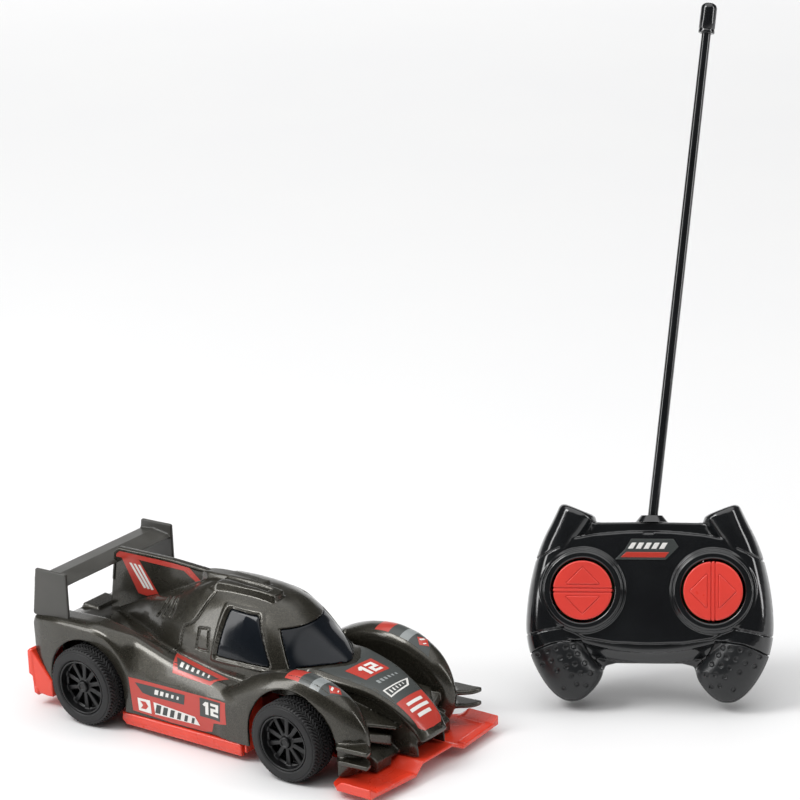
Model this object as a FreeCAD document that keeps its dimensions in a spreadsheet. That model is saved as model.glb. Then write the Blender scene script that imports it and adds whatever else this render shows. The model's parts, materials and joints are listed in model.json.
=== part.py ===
"""Remote control toy racing car and its two-button handset, 1:20 closed-cockpit prototype racer.

Units are millimetres. The car is modelled about its own reference point: the floor under the
middle of the wheelbase, +X towards the nose, +Y to the driver's left, +Z up. The handset is
modelled in its own frame, +X to the player's right, +Y towards the aerial, +Z out of the face,
with its origin midway between the two buttons. Both are then placed in the frame of the set,
whose origin is the middle of its footprint, on the floor.
"""
import FreeCAD
import Part
import math
import os
import re

Vector = FreeCAD.Vector
Rotation = FreeCAD.Rotation
Placement = FreeCAD.Placement

DIMENSIONS = {
    # the car as a whole
    "wheelbase": 134.0,
    "flank_y": 46.0,
    "floor_z": 5.0,
    "floor_thick": 2.0,
    "wall": 1.8,
    "gap": 0.3,
    # wheels
    "wheel_radius": 21.0,
    "tyre_width": 17.0,
    "tyre_inner_y": 37.0,
    "barrel_radius": 14.6,
    "hub_radius": 4.2,
    "axle_radius": 1.5,
    "spoke_count": 10.0,
    # body shell
    "rear_arch_radius": 25.3,
    "rear_arch_shift": -2.5,
    "front_arch_radius": 27.6,
    "front_arch_shift": -1.0,
    "arch_centre_z": 18.5,
    "fender_inner_y": 26.0,
    "nose_half": 13.5,
    "arch_inner_y": 30.5,
    "tail_x": -107.0,
    "nose_x": 121.0,
    # splitter and skirts
    "splitter_tip_x": 124.5,
    "splitter_rear_x": 92.0,
    "splitter_half": 53.8,
    "splitter_z": 3.6,
    "splitter_thick": 2.2,
    "skirt_rear_x": -46.5,
    "skirt_front_x": 33.0,
    "skirt_top_z": 9.6,
    "skirt_bottom_z": 2.6,
    # rear wing
    "wing_half": 43.0,
    "plate_thick": 1.8,
    "wing_rear_x": -106.0,
    "wing_front_x": -82.5,
    "wing_foot_z": 50.8,
    "wing_top_z": 76.2,
    # battery bay of the car
    "cell_radius": 7.1,
    "cell_length": 50.5,
    "cell_pitch": 14.6,
    "bay_centre_x": -4.5,
    "bay_length": 59.0,
    "bay_top_z": 24.0,
    "cover_half_width": 26.0,
    # drive train
    "gear_module": 0.5,
    "gear_teeth": 36.0,
    "pinion_teeth": 12.0,
    "mesh_gap": 0.12,
    "tooth_thinning": 0.2,
    "idler_angle": 50.0,
    "pinion_angle": -10.0,
    "case_y": 12.5,
    "case_depth": 12.0,
    "motor_radius": 10.0,
    "motor_length": 25.0,
    # steering
    "kingpin_y": 34.5,
    "kingpin_radius": 1.2,
    "knuckle_radius": 3.2,
    "arm_length": 12.0,
    "arm_pin_y": 32.0,
    "horn_pivot_x": 43.0,
    "horn_teeth": 30.0,
    # handset
    "handset_front_z": 11.0,
    "handset_back_z": -19.0,
    "handset_back_step": 4.0,
    "handset_wall": 2.0,
    "rocker_x": 33.4,
    "rocker_radius": 15.2,
    "rocker_gap": 1.0,
    "bezel_radius": 21.5,
    "bezel_height": 3.0,
    "aerial_radius": 2.4,
    "aerial_length": 273.0,
    "aerial_lean": 6.1,
    "aerial_cap_radius": 4.2,
    "aerial_cap_length": 16.0,
    # where the handset stands in the set
    "handset_x": 163.2,
    "handset_y": 132.0,
    "handset_turn": 30.0,
    "handset_lean": 22.0,
    "handset_foot": 57.6,
    "set_centre_x": 57.88,
    "set_centre_y": 98.25,
}

doc = FreeCAD.newDocument("rc_car")
sheet = doc.addObject("Spreadsheet::Sheet", "Dims")
for row, (alias, value) in enumerate(DIMENSIONS.items(), start=1):
    sheet.set("A%d" % row, alias)
    sheet.set("B%d" % row, repr(value))
    sheet.setAlias("B%d" % row, alias)
doc.recompute()

sub_parts = []


def dim(alias):
    """A driving dimension, read from the sheet."""
    return float(sheet.get(alias))


def bound(text):
    """An expression over the sheet: bare aliases become references to its cells."""
    return re.sub(
        r"[a-z_][a-z_0-9]*",
        lambda word: "Dims." + word.group() if word.group() in DIMENSIONS else word.group(),
        text,
    )


def put(thing, name, value):
    """Give a property a number, or bind it to the sheet when the value is text."""
    if isinstance(value, str):
        thing.setExpression(name, bound(value))
    else:
        thing.setExpression(name, repr(float(value)))


def place(thing, at, rotation=None):
    """Place a feature: each coordinate is a number or an expression."""
    if rotation is not None:
        thing.Placement = Placement(Vector(), rotation)
    for axis, value in zip("xyz", at):
        if value != 0:
            put(thing, "Placement.Base." + axis, value)
    return thing


def box(name, size, at):
    """A block with its lowest corner at the given place."""
    thing = doc.addObject("Part::Box", name)
    for prop, value in zip(("Length", "Width", "Height"), size):
        put(thing, prop, value)
    return place(thing, at)


AXIS_TURNS = {
    "X": Rotation(Vector(0, 1, 0), 90),
    "Y": Rotation(Vector(1, 0, 0), -90),
    "Z": Rotation(),
}


def rod(name, radius, length, at, axis="Z"):
    """A round bar that starts at the given place and runs along +X, +Y or +Z."""
    thing = doc.addObject("Part::Cylinder", name)
    put(thing, "Radius", radius)
    put(thing, "Height", length)
    return place(thing, at, AXIS_TURNS[axis])


def fuse(name, parts):
    """Several features joined into one."""
    thing = doc.addObject("Part::MultiFuse", name)
    thing.Shapes = parts
    return thing


def cut(name, base, tools):
    """A feature with one or more others taken away."""
    thing = doc.addObject("Part::Cut", name)
    thing.Base = base
    thing.Tool = tools[0] if len(tools) == 1 else fuse(name + "_tools", tools)
    return thing


def origin_plane(body, role):
    return next(f for f in body.Origin.OriginFeatures if f.Role == role)


def outline_sketch(body, name, plane, points):
    """A closed sketch through points whose coordinates are numbers or expressions."""
    sketch = body.newObject("Sketcher::SketchObject", name)
    sketch.AttachmentSupport = [(origin_plane(body, plane), "")]
    sketch.MapMode = "FlatFace"
    doc.recompute()
    count = len(points)
    rough = [(measure(u), measure(w)) for u, w in points]
    for i in range(count):
        start, end = rough[i], rough[(i + 1) % count]
        sketch.addGeometry(Part.LineSegment(Vector(*start, 0), Vector(*end, 0)), False)
    draw_constraints(sketch, points, rough)
    return sketch


def draw_constraints(sketch, points, rough):
    """Join the lines end to end and dimension every corner from the sketch's origin."""
    import Sketcher

    count = len(points)
    for i in range(count):
        sketch.addConstraint(Sketcher.Constraint("Coincident", i, 2, (i + 1) % count, 1))
    for i, corner in enumerate(points):
        for kind, value, size in zip(("DistanceX", "DistanceY"), corner, rough[i]):
            index = sketch.addConstraint(Sketcher.Constraint(kind, -1, 1, i, 1, size))
            if isinstance(value, str):
                sketch.setExpression("Constraints[%d]" % index, bound(value))


def measure(value):
    """The present value of a number or of a sum or difference of aliases and numbers."""
    if not isinstance(value, str):
        return float(value)
    total = 0.0
    for sign, term in re.findall(r"([+-]?)\s*([a-z_0-9.*/]+)", value):
        product = 1.0
        for operator, factor in re.findall(r"([*/]?)([a-z_0-9.]+)", term):
            number = dim(factor) if factor in DIMENSIONS else float(factor)
            product = product / number if operator == "/" else product * number
        total += -product if sign == "-" else product
    return total


def prism(name, plane, points, length, at=(0, 0, 0), both_ways=False):
    """A PartDesign body: an outline on an origin plane, padded along that plane's normal."""
    body = doc.addObject("PartDesign::Body", name)
    sketch = outline_sketch(body, name + "_outline", plane, points)
    pad = body.newObject("PartDesign::Pad", name + "_pad")
    pad.Profile = sketch
    pad.Midplane = both_ways
    put(pad, "Length", length)
    doc.recompute()
    place(body, at)
    return body


def turned(name, points, at=(0, 0, 0)):
    """A PartDesign body turned about Y: points are (radius, place along the axis)."""
    body = doc.addObject("PartDesign::Body", name)
    sketch = outline_sketch(body, name + "_profile", "XY_Plane", points)
    turn = body.newObject("PartDesign::Revolution", name + "_turn")
    turn.Profile = sketch
    turn.ReferenceAxis = (sketch, ["V_Axis"])
    turn.Angle = 360.0
    doc.recompute()
    place(body, at)
    return body


def shaped(name, shape):
    """A feature whose shape is worked out in code from the sheet's sizes."""
    thing = doc.addObject("Part::Feature", name)
    thing.Shape = shape
    return thing


def sub_part(label, things, group):
    """Name a finished sub-part, one solid or several, and stand it in the set with its group."""
    whole = doc.addObject("Part::Compound", label)
    whole.Label = label
    whole.Links = things if isinstance(things, list) else [things]
    group(whole)
    sub_parts.append(whole)
    return whole


def on_car(whole):
    """Move a piece of the car from the car's frame to the frame of the set."""
    whole.setExpression("Placement.Base.x", "-Dims.set_centre_x")
    whole.setExpression("Placement.Base.y", "-Dims.set_centre_y")


def on_handset(whole):
    """Move a piece of the handset from its own frame to where it stands beside the car."""
    turn = Rotation(Vector(0, 0, 1), dim("handset_turn"))
    lean = Rotation(Vector(1, 0, 0), 90.0 - dim("handset_lean"))
    whole.Placement = Placement(Vector(), turn.multiply(lean))
    whole.setExpression("Placement.Base.x", "Dims.handset_x - Dims.set_centre_x")
    whole.setExpression("Placement.Base.y", "Dims.handset_y - Dims.set_centre_y")
    whole.setExpression(
        "Placement.Base.z",
        "Dims.handset_foot * cos(Dims.handset_lean * 1 deg)"
        " - (Dims.handset_back_z + Dims.handset_back_step) * sin(Dims.handset_lean * 1 deg)",
    )


def poly_face(points, lift=lambda u, w: Vector(u, w, 0)):
    """A flat face through the points, lifted into space by the given function."""
    corners = [lift(u, w) for u, w in points]
    return Part.Face(Part.makePolygon(corners + corners[:1]))


def side_slab(points, y_low, y_high):
    """A side view outline (x, z) as a slab between two values of y."""
    face = poly_face(points, lambda x, z: Vector(x, y_low, z))
    return face.extrude(Vector(0, y_high - y_low, 0))


def both_sides(shape):
    """A shape and its mirror image across the car's centre plane."""
    return [shape, shape.mirror(Vector(), Vector(0, 1, 0))]


def joined(shapes):
    """Shapes fused into one clean solid."""
    return shapes[0].multiFuse(shapes[1:]).removeSplitter()


def tapered(low, high):
    """A block between two rectangles (x0, x1, half width, z), the second above the first."""
    wires = []
    for x0, x1, half, z in (low, high):
        corners = [Vector(x0, -half, z), Vector(x1, -half, z), Vector(x1, half, z), Vector(x0, half, z)]
        wires.append(Part.makePolygon(corners + corners[:1]))
    return Part.makeLoft(wires, True, True)


# ---------------------------------------------------------------- body shell of the car

FENDER_TOP = [(33, 36), (41, 43), (57, 50), (68, 52.5), (84, 50), (97, 44), (108, 33)]
DECK_TOP = [(-104.5, 50.8), (-70, 52.5), (-15, 41.3), (27, 36)]


def lower_body(inset, floor):
    """The flanks, fenders, channels and nose, drawn in by the given amount on every side."""
    flank = dim("flank_y") - inset
    tail = dim("tail_x") + inset
    fender = dim("fender_inner_y") + inset
    nose = dim("nose_half") - inset
    tip = dim("nose_x") - inset
    deck = [(x + (inset if i == 0 else 0), z - inset) for i, (x, z) in enumerate(DECK_TOP)]
    main = side_slab([(tail, floor)] + deck + [(deck[-1][0], floor)], -flank, flank)
    arc = [(x, z - inset) for x, z in FENDER_TOP]
    arc[-1] = (arc[-1][0] - inset, arc[-1][1])
    back = arc[0][0] - 8
    outline = [(back, floor), (back, arc[0][1])] + arc + [(arc[-1][0] + 1, floor)]
    fenders = both_sides(side_slab(outline, fender, flank))
    channel = [(20, floor), (20, 36 - inset), (60, 35.5 - inset), (70, 33 - inset), (90, 24 - inset)]
    channel += [(108 - inset, 12.5 - inset / 2), (108 - inset, min(floor, 7.5))]
    middle = side_slab(channel, -fender - 2 * inset - 1, fender + 2 * inset + 1)
    ridge = [(30, floor), (30, 36 - inset), (61, 42 - inset), (80, 44.5 - inset)]
    ridge += [(100, 34 - inset), (tip - 1.5, 18.5 - inset), (tip, 13), (tip - 3, min(floor, 8.0))]
    return [main, middle, side_slab(ridge, -nose, nose)] + fenders


def cabin(inset):
    """The cockpit: the broad shoulder under the windows and the tapered greenhouse."""
    low = (-59 + inset, 66 - inset, 33.0 - inset, 30.0)
    high = (-14 + inset, 42 - inset, 20.0 - inset, 74.5 - inset)
    return tapered(low, high)


def arch_cutters():
    """Round openings for the four wheels, from the inner edge of the wells outwards."""
    inner = dim("arch_inner_y")
    tools = []
    for side in (1, -1):
        for end, radius, shift in (
            (-1, dim("rear_arch_radius"), dim("rear_arch_shift")),
            (1, dim("front_arch_radius"), dim("front_arch_shift")),
        ):
            centre = Vector(end * dim("wheelbase") / 2 + shift, side * inner, dim("arch_centre_z"))
            tools.append(Part.makeCylinder(radius, 40, centre, Vector(0, side, 0)))
            sill = Part.makeBox(2 * radius, 40, 30, Vector(-radius, 0, -30))
            sill.translate(centre + Vector(0, 0 if side > 0 else -40, 0))
            tools.append(sill)
    return tools


def window_regions():
    """Upright blocks that bound the windscreen and the two side windows."""
    side = [(3.5, 46), (34.5, 46.5), (31, 69), (10, 69)]
    screen = [(40, 46), (70, 46), (70, 68), (40, 68)]
    left = side_slab(side, 16, 40)
    return {
        "windscreen": side_slab(screen, -17, 17),
        "side_window_left": left,
        "side_window_right": left.mirror(Vector(), Vector(0, 1, 0)),
    }


SCREW_POSTS = [(-86, 22), (-86, -22), (90, 9), (90, -9)]
POST_RADIUS = 3.0
POST_BORE = 1.1


def canards():
    """Two small dive planes on the outer front corner of each front fender."""
    planes = []
    for top in (25.2, 17.4):
        plane = side_slab([(100, top - 2.6), (116, top - 1.2), (116, top), (100, top - 1.2)], 36, 46)
        planes += both_sides(plane)
    return planes


def body_shell_shape():
    """The painted shell: one thin moulding, open below, with four screw posts inside."""
    wall = dim("wall")
    outer = joined(lower_body(0.0, dim("skirt_top_z")) + [cabin(0.0)])
    cavity = joined(lower_body(wall, 2.0) + [cabin(wall)])
    roof = joined(lower_body(wall, 2.0))
    pan_top = dim("floor_z") + dim("floor_thick")
    shell = outer.cut(cavity).cut(joined(arch_cutters()))
    posts = []
    for x, y in SCREW_POSTS:
        post = Part.makeCylinder(POST_RADIUS, 60, Vector(x, y, pan_top))
        bore = Part.makeCylinder(POST_BORE, 16, Vector(x, y, pan_top))
        posts.append(post.common(roof).cut(bore))
    shell = joined([shell] + posts + canards())
    for region in window_regions().values():
        shell = shell.cut(region)
    return shell


def window_shape(name):
    """A glossy pane that fills its opening, flush with the shell."""
    skin = cabin(0.0).cut(cabin(dim("wall")))
    pane = skin.common(window_regions()[name]).cut(joined(lower_body(0.0, dim("skirt_top_z"))))
    return max(pane.Solids, key=lambda solid: solid.Volume)


sub_part("body_shell", shaped("body_shell_solid", body_shell_shape()), on_car)
for pane_name in window_regions():
    sub_part(pane_name, shaped(pane_name + "_solid", window_shape(pane_name)), on_car)


# ---------------------------------------------------------------- wing and fin

def fin_shape():
    """The upright fin that runs from the roof down the tail, 3 mm thick."""
    outline = [(-90, 44), (-84.8, 75.7), (-81.6, 78.6), (-45, 79.2), (-14, 78.2), (-14, 74.5)]
    outline += [(-59, 30), (-90, 30)]
    blade = side_slab(outline, -1.5, 1.5)
    return blade.cut(cabin(0.0)).cut(joined(lower_body(0.0, dim("skirt_top_z"))))


def wing_shape():
    """Two end plates joined by a plane that rises towards the back."""
    half = dim("wing_half")
    thick = dim("plate_thick")
    foot = dim("wing_foot_z") + 1.2
    top = dim("wing_top_z")
    rear = dim("wing_rear_x")
    front = dim("wing_front_x")
    plate = [(rear, foot + 2), (rear + 1.5, top), (front, top), (front - 2, foot + 2)]
    plate += [(front - 2, foot - 0.4), (rear + 3, foot - 1.0)]
    blade = [(-103.5, 68.4), (-92.5, 72.4), (-84, 71.2), (-83, 73), (-92.5, 74.6), (-103, 70.8)]
    plates = both_sides(side_slab(plate, half - thick, half))
    whole = joined(plates + [side_slab(blade, -half + 0.5, half - 0.5)])
    return whole.cut(joined(lower_body(0.0, dim("skirt_top_z"))))


wing_solid = wing_shape()
sub_part("rear_wing", shaped("rear_wing_solid", wing_solid), on_car)
sub_part("dorsal_fin", shaped("dorsal_fin_solid", fin_shape().cut(wing_solid)), on_car)


# ---------------------------------------------------------------- chassis of the car

PAN_TOP = dim("floor_z") + dim("floor_thick")
AXLE_X = dim("wheelbase") / 2
AXLE_Z = dim("wheel_radius")
TOWER = {"inner": 23.5, "width": 4.5, "depth": 8.0, "arm": 2.0}
BUSH_RADIUS = 3.0
BUSH_LENGTH = 4.0
BUSH_Y = 27.0
BRIDGE_Z = 27.8


def block(x0, x1, y0, y1, z0, z1):
    """A plain block between two corners."""
    return Part.makeBox(x1 - x0, y1 - y0, z1 - z0, Vector(x0, y0, z0))


def pan_shape():
    """The floor pan, narrow between the wheels, with the splitter, skirts and rear corners."""
    low = dim("floor_z")
    flank = dim("flank_y") - dim("gap")
    skirt_rear, skirt_front = dim("skirt_rear_x"), dim("skirt_front_x")
    tail = dim("tail_x") + dim("wall") + dim("gap")
    outline = [
        (tail, -31), (skirt_rear, -31), (skirt_rear, -flank), (skirt_front, -flank),
        (skirt_front, -25), (97, -25), (97, 25), (skirt_front, 25),
        (skirt_front, flank), (skirt_rear, flank), (skirt_rear, 31), (tail, 31),
    ]
    pan = poly_face(outline, lambda x, y: Vector(x, y, low)).extrude(Vector(0, 0, PAN_TOP - low))
    pieces = [pan]
    for side in (1, -1):
        skirt = block(skirt_rear, skirt_front, flank - 3, flank, dim("skirt_bottom_z"),
                      dim("skirt_top_z"))
        corner = block(-111.0, -107.1, 22, 46, low, 31)
        link = block(-108.0, tail + 2, 22, 31, low, dim("skirt_top_z") - dim("gap"))
        for piece in (skirt, corner, link):
            pieces.append(piece if side > 0 else piece.mirror(Vector(), Vector(0, 1, 0)))
    return joined(pieces + splitter_pieces())


def splitter_pieces():
    """The broad stepped splitter under the nose, raised along its outer edges, with a notch."""
    tip, rear = dim("splitter_tip_x"), dim("splitter_rear_x")
    half, low, thick = dim("splitter_half"), dim("splitter_z"), dim("splitter_thick")
    outline = [
        (rear + 2, half - 5), (rear + 8, half), (tip - 1, half), (tip, 20), (tip - 5, 18),
        (tip - 6, 12), (tip - 1, 10.5), (tip - 1, 0),
    ]
    outline += [(x, -y) for x, y in reversed(outline[:-1])]
    plate = poly_face(outline, lambda x, y: Vector(x, y, low)).extrude(Vector(0, 0, thick))
    edge = block(rear + 9, tip - 3, half - 4.0, half, low, low + thick + 1.6)
    return [plate] + both_sides(edge)


def bay_walls():
    """The upstanding walls and roof of the battery bay, open downwards through the pan."""
    x0 = dim("bay_centre_x") - dim("bay_length") / 2
    x1 = x0 + dim("bay_length")
    wall = 1.5
    cover = dim("cover_half_width") + 0.4
    top = dim("bay_top_z")
    outside = block(x0 - wall, x1 + wall, -cover - wall - 1, cover + wall + 1, PAN_TOP - 1, top)
    inside = block(x0, x1, -cover - 1, cover + 1, 0, top - wall)
    opening = block(x0 + 0.8, x1 - 0.8, -cover + 0.8, cover - 0.8, 0, PAN_TOP)
    return outside, inside, opening


def steering_towers():
    """A tower beside each front wheel, with a foot that carries the lower kingpin bearing."""
    tools, solids = [], []
    inner, depth = TOWER["inner"], TOWER["depth"]
    pin = dim("kingpin_y")
    for side in (1, -1):
        tower = block(AXLE_X - depth / 2, AXLE_X + depth / 2, inner, inner + TOWER["width"],
                      PAN_TOP - 1, BRIDGE_Z)
        foot = block(AXLE_X - 3, AXLE_X + 3, inner, pin + 2.3, PAN_TOP - 1, PAN_TOP + TOWER["arm"])
        hole = Part.makeCylinder(dim("kingpin_radius") + 0.08, 10, Vector(AXLE_X, pin, 0))
        for solid in (tower, foot):
            solids.append(solid if side > 0 else solid.mirror(Vector(), Vector(0, 1, 0)))
        tools.append(hole if side > 0 else hole.mirror(Vector(), Vector(0, 1, 0)))
    return solids, tools


def axle_towers():
    """Two upright brackets that hold the rear axle's bushes, and the motor cradle."""
    solids, tools = [], []
    for side in (1, -1):
        y0 = BUSH_Y if side > 0 else -BUSH_Y - BUSH_LENGTH
        solids.append(block(-AXLE_X - 5, -AXLE_X + 5, y0, y0 + BUSH_LENGTH, PAN_TOP - 1, AXLE_Z + 5))
        tools.append(Part.makeCylinder(BUSH_RADIUS, BUSH_LENGTH + 2, Vector(-AXLE_X, y0 - 1, AXLE_Z),
                                       Vector(0, 1, 0)))
    return solids, tools


def chassis_shape():
    outside, inside, opening = bay_walls()
    towers, tower_holes = steering_towers()
    brackets, bracket_holes = axle_towers()
    solid = joined([pan_shape(), outside] + towers + brackets)
    for x, y in SCREW_POSTS:
        tower_holes.append(Part.makeCylinder(1.4, 10, Vector(x, y, 0)))
        tower_holes.append(Part.makeCylinder(2.5, dim("floor_z") + 1.4, Vector(x, y, 0)))
    for tool in [inside, opening, switch_pocket()] + tower_holes + bracket_holes:
        solid = solid.cut(tool)
    return solid


SWITCH_AT = (-86.0, 0.0)


def switch_pocket():
    """The slot in the pan that the switch's slider shows through."""
    x, y = SWITCH_AT
    return block(x - 5.5, x + 5.5, y - 2.5, y + 2.5, 0, PAN_TOP + 0.01)


HORN_X = dim("horn_pivot_x")
HORN_Z = PAN_TOP + 1.4
PIVOT_POST = Part.makeCylinder(1.2, 6.0, Vector(HORN_X, 0, PAN_TOP))

sub_part("chassis", shaped("chassis_solid", chassis_shape().fuse(PIVOT_POST).removeSplitter()), on_car)


# ---------------------------------------------------------------- battery bay and electronics

CELL_Z = PAN_TOP + 0.6 + dim("cell_radius")


def cell_row():
    """Four AA cells side by side across the car."""
    cells = []
    for i in range(4):
        x = dim("bay_centre_x") + (i - 1.5) * dim("cell_pitch")
        way = 1 if i % 2 else -1
        foot = (x, -24.7 - 0.55 * way, CELL_Z)
        case = rod("cell_%d" % (i + 1), "cell_radius", "cell_length - 1.1", foot, "Y")
        tip_y = 24.15 if way > 0 else -25.25
        tip = rod("cell_tip_%d" % (i + 1), 2.7, 1.1, (x, tip_y, CELL_Z), "Y")
        cells.append(fuse("cell_whole_%d" % (i + 1), [case, tip]))
    return cells


sub_part("battery_cells", cell_row(), on_car)

cover_length = dim("bay_length") - 1.6 - 0.6
cover_width = 2 * (dim("cover_half_width") + 0.4 - 0.8) - 0.6
cover = box("cover_plate", (cover_length, cover_width, "floor_thick"),
            ("bay_centre_x - %g" % (cover_length / 2), -cover_width / 2, "floor_z"))
cover_ribs = [
    box("cover_rib_%d" % i, (1.2, cover_width - 12, 0.5),
        (dim("bay_centre_x") + dx - 0.6, -(cover_width - 12) / 2, PAN_TOP - 0.01))
    for i, dx in enumerate((-14.6, 0, 14.6))
]
sub_part("battery_cover", fuse("battery_cover_solid", [cover] + cover_ribs), on_car)

contacts = []
for side in (1, -1):
    for i in (-1, 1):
        face = 25.35 if side > 0 else -25.35 - 0.5
        contacts.append(box("contact_%d_%d" % (side + 1, i + 1), (26.0, 0.5, 9.0),
                            (dim("bay_centre_x") + i * dim("cell_pitch") - 13, face, CELL_Z - 4.5)))
sub_part("battery_contacts", contacts, on_car)

BOARD_Z = dim("bay_top_z") + 2.0
board = box("board_plate", (46.0, 36.0, 1.6), (-28.0, -18.0, BOARD_Z))
feet = [rod("board_foot_%d%d" % (i, k), 1.5, 2.0, (-28 + x, y, BOARD_Z - 2.0), "Z")
        for i, x in enumerate((4, 42)) for k, y in enumerate((-14, 14))]
chips = [
    box("receiver_chip", (10.0, 6.0, 1.8), (-12.0, -3.0, BOARD_Z + 1.6)),
    box("tuning_coil", (7.0, 7.0, 8.0), (4.0, 6.0, BOARD_Z + 1.6)),
    rod("capacitor", 2.5, 7.0, (-20.0, 9.0, BOARD_Z + 1.6), "Z"),
    rod("small_capacitor", 2.0, 5.0, (-20.0, -9.0, BOARD_Z + 1.6), "Z"),
]
sub_part("receiver_board", fuse("receiver_board_solid", [board] + feet + chips), on_car)

switch_x, switch_y = SWITCH_AT
housing = box("switch_case", (15.0, 7.0, 5.0), (switch_x - 7.5, switch_y - 3.5, PAN_TOP))
housing_slot = box("switch_slot", (10.6, 3.4, 3.0), (switch_x - 5.3, switch_y - 1.7, PAN_TOP - 0.5))
sub_part("power_switch", cut("power_switch_solid", housing, [housing_slot]), on_car)
slider = box("slider_block", (4.0, 3.0, 2.0), (switch_x - 5.0, switch_y - 1.5, PAN_TOP + 0.2))
knob = box("slider_knob", (2.4, 3.0, 1.6), (switch_x - 4.2, switch_y - 1.5, PAN_TOP - 1.4))
sub_part("switch_slider", fuse("switch_slider_solid", [slider, knob]), on_car)


# ---------------------------------------------------------------- rear axle and drive

def gear_shape(teeth, width, bore, hub_radius=0.0, hub_length=0.0, turn=0.0):
    """A spur gear about Y with straight-flanked teeth, thinned for backlash, and a hub."""
    module = dim("gear_module")
    pitch, thin = module * teeth / 2, dim("tooth_thinning") / 2
    root, tip = pitch - 1.2 * module, pitch + 0.95 * module
    points = []
    for i in range(teeth):
        centre = turn + 2 * math.pi * i / teeth
        for radius, half in ((root, 0.62), (pitch, 0.39), (tip, 0.17), (tip, -0.17), (pitch, -0.39),
                             (root, -0.62)):
            spread = half * module * math.pi / 2 - math.copysign(thin, half)
            angle = centre - spread / radius
            points.append((radius * math.cos(angle), radius * math.sin(angle)))
    solid = poly_face(points, lambda x, z: Vector(x, 0, z)).extrude(Vector(0, width, 0))
    if hub_length:
        solid = solid.fuse(Part.makeCylinder(hub_radius, hub_length, Vector(0, width, 0), Vector(0, 1, 0)))
    if bore:
        solid = solid.cut(Part.makeCylinder(bore, 99, Vector(0, -40, 0), Vector(0, 1, 0)))
    return solid.removeSplitter()


def moved(shape, x, y, z):
    copy = shape.copy()
    copy.translate(Vector(x, y, z))
    return copy


LARGE, SMALL = int(dim("gear_teeth")), int(dim("pinion_teeth"))
CENTRES = dim("gear_module") * (LARGE + SMALL) / 2 + dim("mesh_gap")
IDLER_TURN = math.radians(dim("idler_angle"))
PINION_TURN = math.radians(dim("pinion_angle"))
IDLER_X = -AXLE_X + CENTRES * math.cos(IDLER_TURN)
IDLER_Z = AXLE_Z + CENTRES * math.sin(IDLER_TURN)
MOTOR_X = IDLER_X + CENTRES * math.cos(PINION_TURN)
MOTOR_Z = IDLER_Z + CENTRES * math.sin(PINION_TURN)
GEAR_Y = 14.5
GEAR_WIDTH = 3.0
AXLE_BORE = dim("axle_radius")
TOOTH = 2 * math.pi


def mesh_turn(driver_teeth, driven_teeth, driver_turn, line):
    """The turn that puts a gap of the driven gear opposite a tooth of the driver."""
    driver_phase = (line - driver_turn) * driver_teeth / TOOTH
    return line + math.pi - (0.5 - driver_phase) * TOOTH / driven_teeth


axle_rod = rod("rear_axle_rod", "axle_radius", 100.0, ("-wheelbase / 2", -50.0, "wheel_radius"), "Y")
sub_part("rear_axle", axle_rod, on_car)
axle_gear = gear_shape(LARGE, GEAR_WIDTH, AXLE_BORE, 2.3, 2.0)
sub_part("axle_gear", shaped("axle_gear_solid", moved(axle_gear, -AXLE_X, GEAR_Y, AXLE_Z)), on_car)

small_turn = mesh_turn(LARGE, SMALL, 0.0, IDLER_TURN)
small_gear = gear_shape(SMALL, GEAR_WIDTH + 0.6, 0, turn=small_turn)
large_gear = gear_shape(LARGE, GEAR_WIDTH - 0.4, 0)
compound = moved(small_gear, 0, GEAR_Y, 0).fuse(moved(large_gear, 0, GEAR_Y + GEAR_WIDTH + 0.6, 0))
compound = compound.cut(Part.makeCylinder(1.06, 99, Vector(0, -40, 0), Vector(0, 1, 0)))
compound = moved(compound.removeSplitter(), IDLER_X, 0, IDLER_Z)
sub_part("compound_gear", shaped("compound_gear_solid", compound), on_car)

pinion_turn = mesh_turn(LARGE, SMALL, 0.0, PINION_TURN)
pinion = gear_shape(SMALL, GEAR_WIDTH, 1.0, turn=pinion_turn)
pinion = moved(pinion, MOTOR_X, GEAR_Y + GEAR_WIDTH + 0.4, MOTOR_Z)
sub_part("motor_pinion", shaped("motor_pinion_solid", pinion), on_car)
sub_part("motor_shaft", rod("motor_shaft_rod", 1.0, 14.0, (MOTOR_X, 8.0, MOTOR_Z), "Y"), on_car)
sub_part("gear_pin", rod("gear_pin_rod", 1.0, 12.6, (IDLER_X, 12.0, IDLER_Z), "Y"), on_car)

MOTOR_END = 11.6
can = rod("motor_can", "motor_radius", "motor_length",
          (MOTOR_X, "%g - motor_length" % MOTOR_END, MOTOR_Z), "Y")
flat = [box("motor_flat_%d" % i, (24.0, 30.0, 4.0),
            (MOTOR_X - 12, MOTOR_END - 28, MOTOR_Z + (7.6 if i else -11.6))) for i in (0, 1)]
bearing = rod("motor_nose", 3.0, 0.9, (MOTOR_X, MOTOR_END - 0.01, MOTOR_Z), "Y")
bore = rod("motor_bore", 1.06, 30.0, (MOTOR_X, 7.5, MOTOR_Z), "Y")
motor_body = fuse("motor_body", [cut("motor_can_flats", can, flat), bearing])
sub_part("drive_motor", cut("drive_motor_solid", motor_body, [bore]), on_car)

CASE_X0, CASE_X1 = -AXLE_X - 12.5, MOTOR_X + 5.5
CASE_Z0, CASE_Z1 = PAN_TOP + 0.2, IDLER_Z + 11.2
CASE_Y0, CASE_Y1 = dim("case_y"), dim("case_y") + dim("case_depth")


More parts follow.
